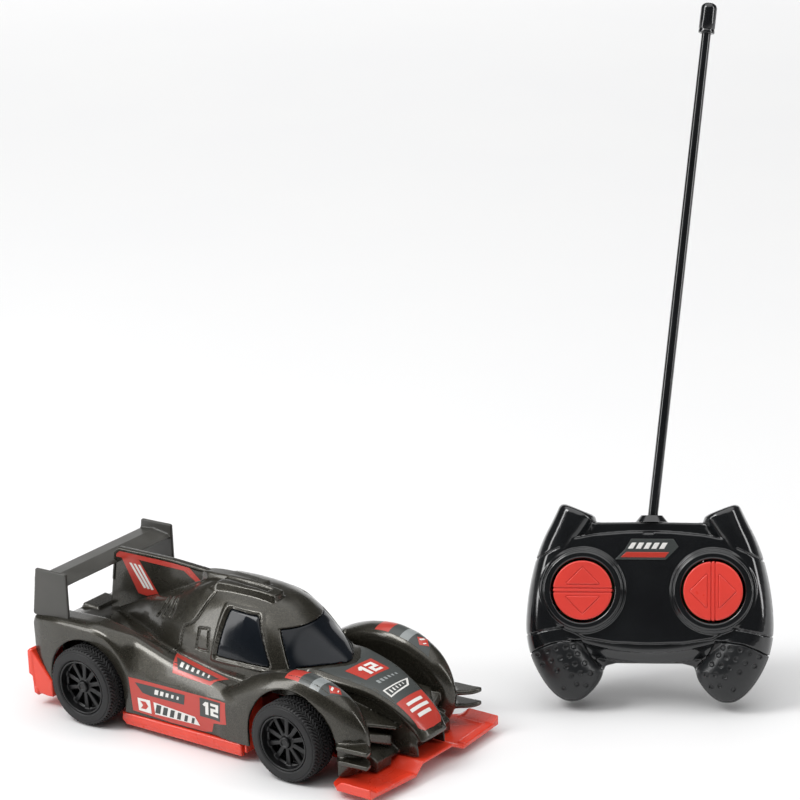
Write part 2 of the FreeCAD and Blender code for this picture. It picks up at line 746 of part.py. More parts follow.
def case_half(y0, y1, open_low):
    """One half of the gearbox: a tray whose open side meets the other half."""
    wall = 1.4
    outer = block(CASE_X0, CASE_X1, y0, y1, CASE_Z0, CASE_Z1)
    low = y0 if open_low else y0 + wall
    high = y1 - wall if open_low else y1
    inner = block(CASE_X0 + wall, CASE_X1 - wall, low, high, CASE_Z0 + wall, CASE_Z1 - wall)
    half = outer.cut(inner)
    for x, z, radius in ((-AXLE_X, AXLE_Z, 3.3), (IDLER_X, IDLER_Z, 1.0), (MOTOR_X, MOTOR_Z, 3.1)):
        half = half.cut(Part.makeCylinder(radius, 99, Vector(x, 0, z), Vector(0, 1, 0)))
    return half


split = CASE_Y0 + 3.0
sub_part("gearbox_inner", shaped("gearbox_inner_solid", case_half(CASE_Y0 - 0.6, split, False)), on_car)
sub_part("gearbox_outer", shaped("gearbox_outer_solid", case_half(split, CASE_Y1, True)), on_car)

bushes = []
for side in (1, -1):
    at = (-AXLE_X, BUSH_Y if side > 0 else -BUSH_Y - BUSH_LENGTH, AXLE_Z)
    ring = rod("bush_ring_%d" % (side + 1), BUSH_RADIUS, BUSH_LENGTH, at, "Y")
    hole = rod("bush_hole_%d" % (side + 1), "axle_radius + 0.06", BUSH_LENGTH + 2,
               (at[0], at[1] - 1, at[2]), "Y")
    bushes.append(cut("bush_%d" % (side + 1), ring, [hole]))
sub_part("axle_bushes", bushes, on_car)


# ---------------------------------------------------------------- wheels

TYRE_OUT = dim("tyre_inner_y") + dim("tyre_width")


def tyre(name, x, side):
    """A rubber tyre: a ring with rounded shoulders."""
    radius, seat = dim("wheel_radius"), dim("barrel_radius")
    y0, y1 = dim("tyre_inner_y"), TYRE_OUT
    profile = [
        (seat, y0 + 0.6), (18.5, y0), (radius - 1.2, y0 + 0.8), (radius, y0 + 3),
        (radius, y1 - 3), (radius - 1.2, y1 - 0.8), (18.5, y1), (seat, y1 - 0.6),
    ]
    ring = turned(name + "_ring", [(r, side * y) for r, y in profile], (x, 0, AXLE_Z))
    return ring


def rim(name, x, side, bore):
    """A recessed ten-spoke rim: barrel, spokes that slope in to a boss, and the boss."""
    seat, thin = dim("barrel_radius"), 1.3
    y0, y1 = dim("tyre_inner_y") + 0.6, TYRE_OUT - 0.6
    barrel = turned(name + "_barrel", [
        (seat - thin, side * y0), (seat, side * y0), (seat, side * y1), (seat - thin, side * y1),
    ])
    boss = turned(name + "_boss", [
        (bore, side * 40.0), (dim("hub_radius"), side * 40.0), (dim("hub_radius"), side * 50.6),
        (bore, side * 50.6),
    ])
    spokes = []
    count = int(dim("spoke_count"))
    for i in range(count):
        spoke = box("%s_spoke_%d" % (name, i), (11.0, 3.4, 2.2), (0, 0, 0))
        turn = Rotation(Vector(0, 1, 0), 360.0 * i / count)
        corner = Vector(3.0, 46.4 if side > 0 else -49.8, -1.1)
        spoke.Placement = Placement(turn.multVec(corner), turn)
        spokes.append(spoke)
    whole = fuse(name + "_whole", [barrel, boss] + spokes)
    bored = cut(name + "_bored", whole, [rod(name + "_bore", bore, 200.0, (0, -100.0, 0), "Y")])
    bored.Placement = Placement(Vector(x, 0, AXLE_Z), Rotation())
    return bored


WHEELS = {
    "rear_left": (-AXLE_X, 1, AXLE_BORE),
    "rear_right": (-AXLE_X, -1, AXLE_BORE),
    "front_left": (AXLE_X, 1, AXLE_BORE + 0.06),
    "front_right": (AXLE_X, -1, AXLE_BORE + 0.06),
}
for corner_name, (wheel_x, wheel_side, wheel_bore) in WHEELS.items():
    sub_part("tyre_" + corner_name, tyre("tyre_" + corner_name, wheel_x, wheel_side), on_car)
    sub_part("rim_" + corner_name, rim("rim_" + corner_name, wheel_x, wheel_side, wheel_bore), on_car)


# ---------------------------------------------------------------- steering

ARM_Z = PAN_TOP + TOWER["arm"] + 5.0
ROD_Z = ARM_Z - 2.4
STUB_END = 52.0


def knuckle_shape(side):
    """A steering knuckle: kingpin, stub axle outwards, and an arm back to the tie rod."""
    pin_y = dim("kingpin_y")
    low, high = PAN_TOP + TOWER["arm"] + 0.2, BRIDGE_Z - 0.2
    barrel = Part.makeCylinder(dim("knuckle_radius"), high - low, Vector(AXLE_X, pin_y, low))
    pin = Part.makeCylinder(dim("kingpin_radius"), high - low + 3.4, Vector(AXLE_X, pin_y, low - 1.7))
    stub = Part.makeCylinder(AXLE_BORE, STUB_END - pin_y, Vector(AXLE_X, pin_y, AXLE_Z), Vector(0, 1, 0))
    head = Part.makeCylinder(2.6, 0.8, Vector(AXLE_X, 50.8, AXLE_Z), Vector(0, 1, 0))
    start = Vector(AXLE_X, pin_y, ARM_Z)
    arm_x, arm_y = AXLE_X - dim("arm_length"), dim("arm_pin_y")
    outline = [(AXLE_X, pin_y + 1.5), (AXLE_X, pin_y - 2.4), (arm_x - 1.6, arm_y - 1.6),
               (arm_x - 1.6, arm_y + 1.6)]
    arm = poly_face(outline, lambda x, y: Vector(x, y, start.z)).extrude(Vector(0, 0, 2.0))
    peg = Part.makeCylinder(0.8, 4.4, Vector(arm_x, arm_y, ROD_Z - 0.2))
    whole = joined([barrel, pin, stub, head, arm, peg])
    return whole if side > 0 else whole.mirror(Vector(), Vector(0, 1, 0))


for side_name, side in (("left", 1), ("right", -1)):
    sub_part("knuckle_" + side_name, shaped("knuckle_%s_solid" % side_name, knuckle_shape(side)), on_car)

rod_x = AXLE_X - dim("arm_length")
bar = box("tie_bar", (5.6, 2 * (dim("arm_pin_y") - 2), 2.0), (rod_x - 2.8, 2 - dim("arm_pin_y"), ROD_Z))
ends = []
slots = [box("tie_slot_mid", (3.2, 2.6, 4.0), (rod_x - 1.8, -1.3, ROD_Z - 1))]
for side in (1, -1):
    y = side * dim("arm_pin_y")
    ends.append(box("tie_end_%d" % (side + 1), (7.4, 5.2, 2.0), (rod_x - 2.9, y - 2.6, ROD_Z)))
    slots.append(box("tie_slot_%d" % (side + 1), (4.2, 2.6, 4.0), (rod_x - 1.3, y - 1.3, ROD_Z - 1)))
sub_part("tie_rod", cut("tie_rod_solid", fuse("tie_rod_bar", [bar] + ends), slots), on_car)


def horn_shape():
    """The steering horn: a gear about Z with an arm that carries the tie rod's middle pin."""
    gear = gear_shape(int(dim("horn_teeth")), 2.2, 0)
    gear.rotate(Vector(), Vector(1, 0, 0), 90)
    gear.translate(Vector(HORN_X, 0, HORN_Z))
    arm = block(HORN_X, rod_x + 1.6, -1.8, 1.8, HORN_Z, HORN_Z + 2.2)
    peg = Part.makeCylinder(0.9, ROD_Z + 2.4 - HORN_Z, Vector(rod_x, 0, HORN_Z))
    whole = joined([gear, arm, peg])
    return whole.cut(Part.makeCylinder(1.26, 30, Vector(HORN_X, 0, 0)))


sub_part("steering_horn", shaped("steering_horn_solid", horn_shape()), on_car)

PINION_X = HORN_X - dim("gear_module") * (dim("horn_teeth") + SMALL) / 2 - dim("mesh_gap")
SERVO_RADIUS = 5.2
SERVO_Z = 15.0
SERVO_HEIGHT = 15.0


def flat_gear(teeth, width, bore, turn, x, z):
    """A spur gear about Z at the given place on the car's centre line."""
    gear = gear_shape(teeth, width, bore, turn=turn)
    gear.rotate(Vector(), Vector(1, 0, 0), 90)
    gear.translate(Vector(x, 0, z))
    return gear


servo_pinion = flat_gear(SMALL, 2.2, 0.8, TOOTH / 2 / SMALL, PINION_X, HORN_Z + 2.2)
sub_part("steering_pinion", shaped("steering_pinion_solid", servo_pinion), on_car)
servo_shaft = rod("servo_shaft", 0.8, SERVO_Z + 3.0 - HORN_Z, (PINION_X, 0, HORN_Z), "Z")
servo_can = rod("servo_can", SERVO_RADIUS, SERVO_HEIGHT, (PINION_X, 0, SERVO_Z), "Z")
servo_bore = rod("servo_bore", 0.86, 4.0, (PINION_X, 0, SERVO_Z - 0.5), "Z")
sub_part("steering_shaft", servo_shaft, on_car)
sub_part("steering_motor", cut("steering_motor_solid", servo_can, [servo_bore]), on_car)


def cradle_shape():
    """The bracket that holds the steering motor over its pinion."""
    x0, x1 = PINION_X - SERVO_RADIUS + 0.2, PINION_X + SERVO_RADIUS - 0.2
    plate = block(x0, x1, -12, 12, SERVO_Z - 1.8, SERVO_Z)
    legs = both_sides(block(x0, x1, 9.5, 12, PAN_TOP, SERVO_Z))
    cheeks = both_sides(block(x0, x1, SERVO_RADIUS + 0.1, SERVO_RADIUS + 1.6, SERVO_Z, SERVO_Z + 8))
    hole = Part.makeCylinder(1.5, 30, Vector(PINION_X, 0, 0))
    return joined([plate] + legs + cheeks).cut(hole)


sub_part("motor_bracket", shaped("motor_bracket_solid", cradle_shape()), on_car)

bridge = box("bridge_plate", (8.0, 2 * (dim("kingpin_y") + 2.4), 2.0),
             (AXLE_X - 4, -dim("kingpin_y") - 2.4, BRIDGE_Z))
bridge_holes = []
for side in (1, -1):
    bridge_holes.append(rod("bridge_bore_%d" % (side + 1), "kingpin_radius + 0.08", 6.0,
                            (AXLE_X, side * dim("kingpin_y"), BRIDGE_Z - 2), "Z"))
    bridge_holes.append(rod("bridge_screw_hole_%d" % (side + 1), 1.1, 6.0,
                            (AXLE_X, side * (TOWER["inner"] + 2.2), BRIDGE_Z - 2), "Z"))
sub_part("steering_bridge", cut("steering_bridge_solid", bridge, bridge_holes), on_car)


def screw(name, x, y, z, length, up=True):
    """A pan-head self-tapping screw with a cross recess: head at z, shank into the work."""
    way = 1 if up else -1
    head = rod(name + "_head", 2.2, 1.3, (x, y, z if up else z - 1.3), "Z")
    shank = rod(name + "_shank", 1.0, length, (x, y, z + 1.3 if up else z - 1.3 - length), "Z")
    deep = z - 0.1 if up else z - 0.7
    slots = [box("%s_cross_%d" % (name, i), (2.4, 0.5, 0.8) if i else (0.5, 2.4, 0.8),
                 (x - (1.2 if i else 0.25), y - (0.25 if i else 1.2), deep)) for i in (0, 1)]
    return cut(name, fuse(name + "_solid", [head, shank]), slots)


body_screws = [screw("body_screw_%d" % i, x, y, dim("floor_z"), 8.0)
               for i, (x, y) in enumerate(SCREW_POSTS)]
sub_part("body_screws", body_screws, on_car)
bridge_screws = [screw("bridge_screw_%d" % i, AXLE_X, side * (TOWER["inner"] + 2.2),
                       BRIDGE_Z + 2.0 + 1.3, 1.9, False) for i, side in enumerate((1, -1))]
sub_part("bridge_screws", bridge_screws, on_car)


# ---------------------------------------------------------------- handset

FRONT, BACK = dim("handset_front_z"), dim("handset_back_z")
SHELL_WALL = dim("handset_wall")
AERIAL_AT = (1.0, 35.4)
SHELL_HALF = [
    (0, 35.4), (26.3, 35), (26.8, 37.8), (28.5, 39.6), (41, 44.2), (44, 43), (49.5, 36.8), (55, 26.6),
    (59.2, 15), (62.8, -1.8), (64.1, -19.4), (62.3, -31.5), (58.1, -41.7), (51.6, -51.5), (45.1, -56.6),
    (40, -57.6), (34.9, -56.6), (29.3, -52), (24.6, -45.4), (22.8, -38.9), (17, -37.5), (0, -37.5),
]


def handset_outline(inset, z0, z1):
    """The handset's silhouette, drawn in by the given amount, as a slab."""
    points = SHELL_HALF + [(-x, y) for x, y in reversed(SHELL_HALF[1:-1])]
    face = poly_face(points, lambda x, y: Vector(x, y, z0))
    if inset:
        wire = face.OuterWire.makeOffset2D(-inset, 2)
        face = Part.Face(wire)
    return face.extrude(Vector(0, 0, z1 - z0))


def stepped_slab(inset, low, high, crown):
    """The silhouette in two steps, so that the face and the back are drawn in at their edges."""
    towards = 1 if high > low else -1
    middle = high - towards * crown
    whole = handset_outline(inset, min(low, middle), max(low, middle))
    step = handset_outline(inset + 3.0, min(low, high), max(low, high))
    return whole.fuse(step).removeSplitter()


HOLE_RADIUS = dim("rocker_radius") + dim("rocker_gap")
PIVOT_Z = 6.0
DOOR = {"x": 27.0, "y0": -12.0, "y1": 26.0}


def upper_shell_shape():
    """The front half: the face with two raised rings, their wells, and the bearing posts."""
    solid = stepped_slab(0, 0, FRONT, 3.0).cut(stepped_slab(SHELL_WALL, -1, FRONT - SHELL_WALL, 3.0))
    bearings = []
    for i, side in enumerate((-1, 1)):
        x = side * dim("rocker_x")
        ring = Part.makeCylinder(dim("bezel_radius"), dim("bezel_height"), Vector(x, 0, FRONT))
        solid = solid.fuse(ring)
        solid = solid.cut(Part.makeCylinder(HOLE_RADIUS, 30, Vector(x, 0, 0)))
        along = Vector(0, 1, 0) if side > 0 else Vector(1, 0, 0)
        for way in (1, -1):
            start = HOLE_RADIUS - 0.6
            post = block(start, start + 2.6, -2.6, 2.6, PIVOT_Z - 3.4, FRONT - SHELL_WALL + 0.3)
            post = post.cut(Part.makeCylinder(1.06, 40, Vector(0, 0, PIVOT_Z), Vector(1, 0, 0)))
            post.rotate(Vector(), Vector(0, 0, 1), (0 if way > 0 else 180) + (90 if along.y else 0))
            post.translate(Vector(x, 0, 0))
            bearings.append(post)
    return joined([solid] + bearings).cut(aerial_socket()).cut(seam_holes(0, 9))


def aerial_socket():
    """The round socket for the aerial, through the top edge of both halves."""
    x, y = AERIAL_AT
    return Part.makeCylinder(3.4, 40, Vector(x, y - 15, -2.0), Vector(0, 1, 0))


HANDSET_SCREWS = [(-48, 21), (48, 21), (-48, -34), (48, -34)]


def seam_holes(low, high):
    """Bores for the four case screws."""
    return joined([Part.makeCylinder(1.06, high - low, Vector(x, y, low)) for x, y in HANDSET_SCREWS])


def lower_shell_shape():
    """The back half, with the opening for the battery door and the four screw posts."""
    step = dim("handset_back_step")
    solid = stepped_slab(0, 0, BACK, step).cut(stepped_slab(SHELL_WALL, 1, BACK + SHELL_WALL, step))
    posts = []
    for x, y in HANDSET_SCREWS:
        post = Part.makeCylinder(3.0, 0 - BACK, Vector(x, y, BACK))
        post = post.cut(Part.makeCylinder(2.5, 4.0, Vector(x, y, BACK)))
        posts.append(post.cut(Part.makeCylinder(1.3, 60, Vector(x, y, BACK))))
    mouths = joined([Part.makeCylinder(2.5, 4.0, Vector(x, y, BACK)) for x, y in HANDSET_SCREWS])
    bores = joined([Part.makeCylinder(1.3, 40, Vector(x, y, BACK)) for x, y in HANDSET_SCREWS])
    door = block(-DOOR["x"], DOOR["x"], DOOR["y0"], DOOR["y1"], BACK - 1, BACK + SHELL_WALL + 1)
    slot = block(-5.6, 5.6, -29.0, -24.0, BACK - 1, BACK + SHELL_WALL + 1)
    solid = solid.cut(mouths).cut(bores).fuse(joined(posts)).cut(door).cut(slot)
    return solid.removeSplitter().cut(aerial_socket())


sub_part("handset_upper_shell", shaped("upper_shell_solid", upper_shell_shape()), on_handset)
sub_part("handset_lower_shell", shaped("lower_shell_solid", lower_shell_shape()), on_handset)


def rocker_shape(along_x):
    """A round rocker button with its stem and pivot pin; the pin lies along X or along Y."""
    radius = dim("rocker_radius")
    disc = Part.makeCylinder(radius, 3.2, Vector(0, 0, FRONT + 0.6))
    disc = disc.makeFillet(0.8, [edge for edge in disc.Edges if edge.BoundBox.ZMin > FRONT + 3])
    stem = block(-4, 4, -4, 4, PIVOT_Z - 2.4, FRONT + 0.8)
    wings = block(-2, 2, -11.5, 11.5, FRONT - 2.2, FRONT + 0.8)
    foot = Vector(-HOLE_RADIUS - 1.2, 0, PIVOT_Z)
    pin = Part.makeCylinder(1.0, 2 * HOLE_RADIUS + 2.4, foot, Vector(1, 0, 0))
    whole = joined([disc, stem, wings, pin])
    if not along_x:
        whole.rotate(Vector(), Vector(0, 0, 1), 90)
    return whole


for rocker_name, side in (("throttle_rocker", -1), ("steering_rocker", 1)):
    rocker = moved(rocker_shape(side < 0), side * dim("rocker_x"), 0, 0)
    sub_part(rocker_name, shaped(rocker_name + "_solid", rocker), on_handset)

PAD_TOP = FRONT - 2.2 - 1.5
BOARD_TOP = 1.6
pads = []
for side in (-1, 1):
    for way in (-1, 1):
        x = side * dim("rocker_x") + (way * 9.5 if side > 0 else 0)
        y = 0 if side > 0 else way * 9.5
        pads.append(rod("pad_%d%d" % (side + 1, way + 1), 2.6, PAD_TOP - BOARD_TOP, (x, y, BOARD_TOP)))
sub_part("rubber_domes", pads, on_handset)

handset_board = box("handset_board_plate", (92.0, 30.0, 1.6), (-46.0, -15.0, BOARD_TOP - 1.6))
stands = [box("board_stand_%d" % i, (6.0, 30.0, 3.0), (x, -15.0, BOARD_TOP - 4.6))
          for i, x in enumerate((-44.0, 38.0))]
encoder = box("encoder_chip", (10.0, 6.0, 1.8), (-5.0, -3.0, BOARD_TOP))
crystal = box("crystal", (4.0, 9.0, 3.4), (8.0, 2.0, BOARD_TOP))
board_solid = fuse("handset_board_solid", [handset_board, encoder, crystal] + stands)
sub_part("handset_board", board_solid, on_handset)

CELLS_Z = BACK + 3.4 + dim("cell_radius")
handset_cells = []
for i in range(2):
    y = 7.0 + (i - 0.5) * dim("cell_pitch")
    way = 1 if i else -1
    foot = (-24.7 - 0.55 * way, y, CELLS_Z)
    case = rod("handset_cell_%d" % i, "cell_radius", "cell_length - 1.1", foot, "X")
    tip = rod("handset_cell_tip_%d" % i, 2.7, 1.1, (24.15 if way > 0 else -25.25, y, CELLS_Z), "X")
    handset_cells.append(fuse("handset_cell_whole_%d" % i, [case, tip]))
sub_part("handset_cells", handset_cells, on_handset)
clips = [box("clip_%d" % i, (0.5, 24.0, 9.0), (x, -5.0, CELLS_Z - 4.5))
         for i, x in enumerate((-25.85, 25.35))]
sub_part("handset_contacts", clips, on_handset)

gap = dim("gap")
door_plate = box("door_plate", (2 * DOOR["x"] - 2 * gap, DOOR["y1"] - DOOR["y0"] - 2 * gap, SHELL_WALL),
                 (-DOOR["x"] + gap, DOOR["y0"] + gap, BACK))
door_ribs = [box("door_rib_%d" % i, (20.0, 0.8, 0.8), (-10.0, DOOR["y0"] + 4 + 2.4 * i, BACK - 0.6))
             for i in range(4)]
sub_part("handset_battery_door", fuse("battery_door_solid", [door_plate] + door_ribs), on_handset)

nub = box("nub_block", (5.0, 4.4, 1.8), (-5.3, -28.7, BACK + SHELL_WALL + 0.3))
nub_top = box("nub_top", (3.0, 3.0, 3.6), (-4.3, -28.0, BACK - 1.0))
sub_part("handset_switch", fuse("handset_switch_solid", [nub, nub_top]), on_handset)


def case_screw(i, x, y):
    """A case screw, driven in from the back, its head sunk in the screw post."""
    head = rod("case_head_%d" % i, 2.2, 1.4, (x, y, BACK + 2.6))
    shank = rod("case_shank_%d" % i, 1.0, 20.0, (x, y, BACK + 4.0))
    return fuse("case_screw_%d" % i, [head, shank])


sub_part("handset_screws", [case_screw(i, x, y) for i, (x, y) in enumerate(HANDSET_SCREWS)], on_handset)


def leaning(shape):
    """A shape along Y, swung about Z by the aerial's lean and set at the aerial's foot."""
    copy = shape.copy()
    copy.rotate(Vector(), Vector(0, 0, 1), -dim("aerial_lean"))
    return moved(copy, AERIAL_AT[0], AERIAL_AT[1] - AERIAL_DEPTH, AERIAL_Z)


AERIAL_DEPTH = 2.0
AERIAL_Z = -2.0
FORWARD = Vector(0, 1, 0)


def collar_shape():
    """The tapered collar round the aerial's foot, with a flared mouth."""
    foot = Vector(AERIAL_AT[0], AERIAL_AT[1], AERIAL_Z)
    cone = Part.makeCone(8.4, 5.6, 3.4, foot, FORWARD)
    mouth = Part.makeCone(3.2, 4.8, 9.0, Vector(), FORWARD)
    return cone.cut(leaning(mouth))


def aerial_shape():
    """The sleeved whip: a long thin rod, with a cross pin through its foot inside the socket."""
    length = dim("aerial_length") - 4.0
    whip = Part.makeCylinder(dim("aerial_radius"), length + 3.0, Vector(0, -3.0, 0), FORWARD)
    pin = Part.makeCylinder(1.0, 6.0, Vector(0, 0, -3.0))
    return leaning(joined([whip, pin]))


def aerial_cap_shape():
    """The domed plastic cap over the top of the aerial."""
    radius, length = dim("aerial_cap_radius"), dim("aerial_cap_length")
    start = dim("aerial_length") - length
    cap = Part.makeCylinder(radius, length, Vector(0, start, 0), FORWARD)
    cap = cap.makeFillet(3.2, [edge for edge in cap.Edges if edge.BoundBox.YMin > start + 1])
    bore = Part.makeCylinder(dim("aerial_radius"), length - 4.0, Vector(0, start, 0), FORWARD)
    return leaning(cap.cut(bore))


sub_part("aerial_collar", shaped("aerial_collar_solid", collar_shape()), on_handset)
sub_part("aerial", shaped("aerial_solid", aerial_shape()), on_handset)
sub_part("aerial_cap", shaped("aerial_cap_solid", aerial_cap_shape()), on_handset)
badge = [(-17.0, 15.9), (9.0, 15.9), (15.6, 22.6), (13.0, 26.6), (-8.6, 26.6), (-12.0, 21.0)]
sub_part("face_badge", prism("badge_plate", "XY_Plane", badge, 0.5, (0, 0, "handset_front_z")), on_handset)


# ---------------------------------------------------------------- checks and export

doc.recompute()
for thing in doc.Objects:
    bad = [state for state in thing.State if state in ("Invalid", "Error")]
    if bad:
        raise RuntimeError("%s is %s" % (thing.Label, bad))
for whole in sub_parts:
    if whole.Shape.isNull() or not whole.Shape.isValid() or not whole.Shape.Solids:
        raise RuntimeError("%s has no valid solid" % whole.Label)

os.makedirs("parts", exist_ok=True)
for whole in sub_parts:
    whole.Shape.exportStep(os.path.join("parts", whole.Label + ".step"))

extent = FreeCAD.BoundBox()
for whole in sub_parts:
    extent.add(whole.Shape.BoundBox)
print("sub-parts", len(sub_parts), "extent", extent)
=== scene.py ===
"""Looks of the remote control toy racing car and its handset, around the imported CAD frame.

Blender works in metres in the frame of the set. The moulded shells are worked out as signed
distance fields in millimetres, in the car's own frame (+X nose, +Y left, +Z up, origin on the
floor under the middle of the wheelbase) or in the handset's (+X right, +Y up the face, +Z out
of the face, origin midway between the two buttons), and are turned into meshes from there.
"""
import functools
import json
import math

import bmesh
import bpy
import numpy as np
import openvdb
from mathutils import Matrix, Vector


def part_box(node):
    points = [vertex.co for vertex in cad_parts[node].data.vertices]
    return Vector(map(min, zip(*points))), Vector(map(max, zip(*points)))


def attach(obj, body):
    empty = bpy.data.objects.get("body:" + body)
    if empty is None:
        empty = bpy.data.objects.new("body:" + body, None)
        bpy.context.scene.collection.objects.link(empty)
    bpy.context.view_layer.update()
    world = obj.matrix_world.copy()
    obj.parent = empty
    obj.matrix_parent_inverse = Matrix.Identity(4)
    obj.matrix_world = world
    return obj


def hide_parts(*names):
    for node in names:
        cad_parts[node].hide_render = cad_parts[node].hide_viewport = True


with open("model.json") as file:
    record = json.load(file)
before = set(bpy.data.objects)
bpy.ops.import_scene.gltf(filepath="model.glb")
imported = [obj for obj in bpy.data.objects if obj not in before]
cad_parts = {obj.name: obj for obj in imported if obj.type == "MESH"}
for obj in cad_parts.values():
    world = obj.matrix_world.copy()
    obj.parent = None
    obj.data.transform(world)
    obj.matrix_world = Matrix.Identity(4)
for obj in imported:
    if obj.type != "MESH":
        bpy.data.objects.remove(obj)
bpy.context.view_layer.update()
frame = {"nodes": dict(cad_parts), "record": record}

MM = 0.001


# ------------------------------------------------------------------ places, read from the frame

def middle(node):
    """The middle of a CAD node's box, in metres."""
    low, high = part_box(node)
    return (Vector(low) + Vector(high)) / 2


front_hub = (middle("tyre_front_left") + middle("tyre_front_right")) / 2
rear_hub = (middle("tyre_rear_left") + middle("tyre_rear_right")) / 2
AXLE_X = (front_hub.x - rear_hub.x) / 2 / MM
AXLE_Z = front_hub.z / MM
CAR_ORIGIN = Vector(((front_hub.x + rear_hub.x) / 2, (front_hub.y + rear_hub.y) / 2, 0.0))
CAR = Matrix.Translation(CAR_ORIGIN) @ Matrix.Scale(MM, 4)

joints = {joint["name"]: joint for joint in frame["record"]["behaviour"]["joints"]}
hand_x = Vector(joints["throttle_press"]["axis"])
hand_y = Vector(joints["steering_press"]["axis"])
hand_z = hand_x.cross(hand_y)
PIVOT_Z = 6.0
throttle_at = Vector(joints["throttle_press"]["pos_m"])
steering_at = Vector(joints["steering_press"]["pos_m"])
ROCKER_X = (steering_at - throttle_at).length / 2 / MM
hand_origin = (throttle_at + steering_at) / 2 - hand_z * PIVOT_Z * MM
HAND = Matrix((
    (hand_x.x, hand_y.x, hand_z.x, hand_origin.x),
    (hand_x.y, hand_y.y, hand_z.y, hand_origin.y),
    (hand_x.z, hand_y.z, hand_z.z, hand_origin.z),
    (0, 0, 0, 1),
)) @ Matrix.Scale(MM, 4)


# ------------------------------------------------------------------ signed distance fields

class Grid:
    """A block of sample points; x, y and z broadcast against each other."""

    def __init__(self, low, high, step):
        self.step = step
        self.low = np.array(low, dtype=np.float32)
        counts = [int(math.ceil((b - a) / step)) + 1 for a, b in zip(low, high)]
        axes = [np.arange(n, dtype=np.float32) * step + a for n, a in zip(counts, low)]
        self.x = axes[0][:, None, None]
        self.y = axes[1][None, :, None]
        self.z = axes[2][None, None, :]


def smin(a, b, k):
    """Smooth union of two fields, with a fillet of about k."""
    blend = np.maximum(k - np.abs(a - b), 0) / k
    return np.minimum(a, b) - blend * blend * (k / 4)


def smax(a, b, k):
    """Smooth intersection of two fields."""
    blend = np.maximum(k - np.abs(a - b), 0) / k
    return np.maximum(a, b) + blend * blend * (k / 4)


def both(*fields):
    """What lies inside every one of the fields."""
    return functools.reduce(np.maximum, fields)


def either(*fields):
    """What lies inside at least one of the fields."""
    return functools.reduce(np.minimum, fields)


def carve(a, b, k):
    """Field a with b taken away, its edges eased by k."""
    return smax(a, -b, k)


def recess(field, shape, depth, k):
    """The field with a shape cut into it, down to one depth below the surface."""
    return carve(field, np.maximum(shape, -(field + depth)), k)


def segment_gap(u, w, start, end):
    """Squared distance in a plane to the straight line between two points."""
    (u0, w0), (u1, w1) = start, end
    du, dw = u1 - u0, w1 - w0
    along = np.clip(((u - u0) * du + (w - w0) * dw) / (du * du + dw * dw), 0, 1)
    return (u - u0 - along * du) ** 2 + (w - w0 - along * dw) ** 2


def line_gap(u, w, points):
    """Distance in a plane to an open chain of points."""
    return np.sqrt(either(*[segment_gap(u, w, start, end) for start, end in zip(points[:-1], points[1:])]))


def polygon(u, w, points):
    """Signed distance in a plane to a closed polygon."""
    distance = np.inf
    inside = False
    for i, (u1, w1) in enumerate(points):
        u0, w0 = points[i - 1]
        distance = np.minimum(distance, segment_gap(u, w, (u0, w0), (u1, w1)))
        crosses = ((w0 > w) != (w1 > w)) & (u < u0 + (w - w0) / ((w1 - w0) or 1e-9) * (u1 - u0))
        inside = inside ^ crosses
    return np.where(inside, -np.sqrt(distance), np.sqrt(distance))


def eased(points):
    """A closed outline with its corners cut off twice."""
    for _ in range(2):
        softer = []
        for i, point in enumerate(points):
            for other in (points[i - 1], points[(i + 1) % len(points)]):
                softer.append(tuple(0.75 * a + 0.25 * b for a, b in zip(point, other)))
        points = softer
    return points


def curve(t, points):
    """A smooth curve through (t, value) points, with a cubic that never overshoots."""
    ts = np.array([p[0] for p in points], dtype=np.float64)
    vs = np.array([p[1] for p in points], dtype=np.float64)
    slopes = np.diff(vs) / np.diff(ts)
    tangents = np.zeros_like(vs)
    product, total = slopes[:-1] * slopes[1:], slopes[:-1] + slopes[1:]
    tangents[1:-1] = np.where(product > 0, 2 * product / np.where(product > 0, total, 1), 0)
    tangents[0], tangents[-1] = slopes[0], slopes[-1]
    flat = np.clip(np.asarray(t, dtype=np.float64), ts[0], ts[-1])
    index = np.clip(np.searchsorted(ts, flat) - 1, 0, len(ts) - 2)
    width = ts[index + 1] - ts[index]
    s = (flat - ts[index]) / width
    v0, v1 = vs[index], vs[index + 1]
    t0, t1 = tangents[index] * width, tangents[index + 1] * width
    value = v0 + s * (t0 + s * (3 * (v1 - v0) - 2 * t0 - t1 + s * (2 * (v0 - v1) + t0 + t1)))
    return value.astype(np.float32)


def level(field, step, least=0.25):
    """A field rescaled so that it grows by about one per millimetre."""
    full = np.ascontiguousarray(field, dtype=np.float32)
    gx, gy, gz = np.gradient(full, step)
    return full / np.maximum(np.sqrt(gx * gx + gy * gy + gz * gz), least)


def ramp(t, low, high):
    """A smooth step from 0 to 1."""
    s = np.clip((t - low) / (high - low), 0, 1)
    return s * s * (3 - 2 * s)


def mesh_points(field, grid, mirror=False):
    """The zero surface of a field: points in millimetres, and quads."""
    block = np.ascontiguousarray(field, dtype=np.float32)
    low = grid.low.astype(np.float64)
    if mirror:
        first = int(round(-low[1] / grid.step))
        half = block[:, first:, :]
        block = np.concatenate([half[:, :0:-1, :], half], axis=1)
        low[1] = -(half.shape[1] - 1) * grid.step
    band = 3.0 * grid.step
    volume = openvdb.FloatGrid(band)
    volume.copyFromArray(np.clip(block, -band, band))
    points, quads = volume.convertToQuads(0.0)
    return points * grid.step + low, quads


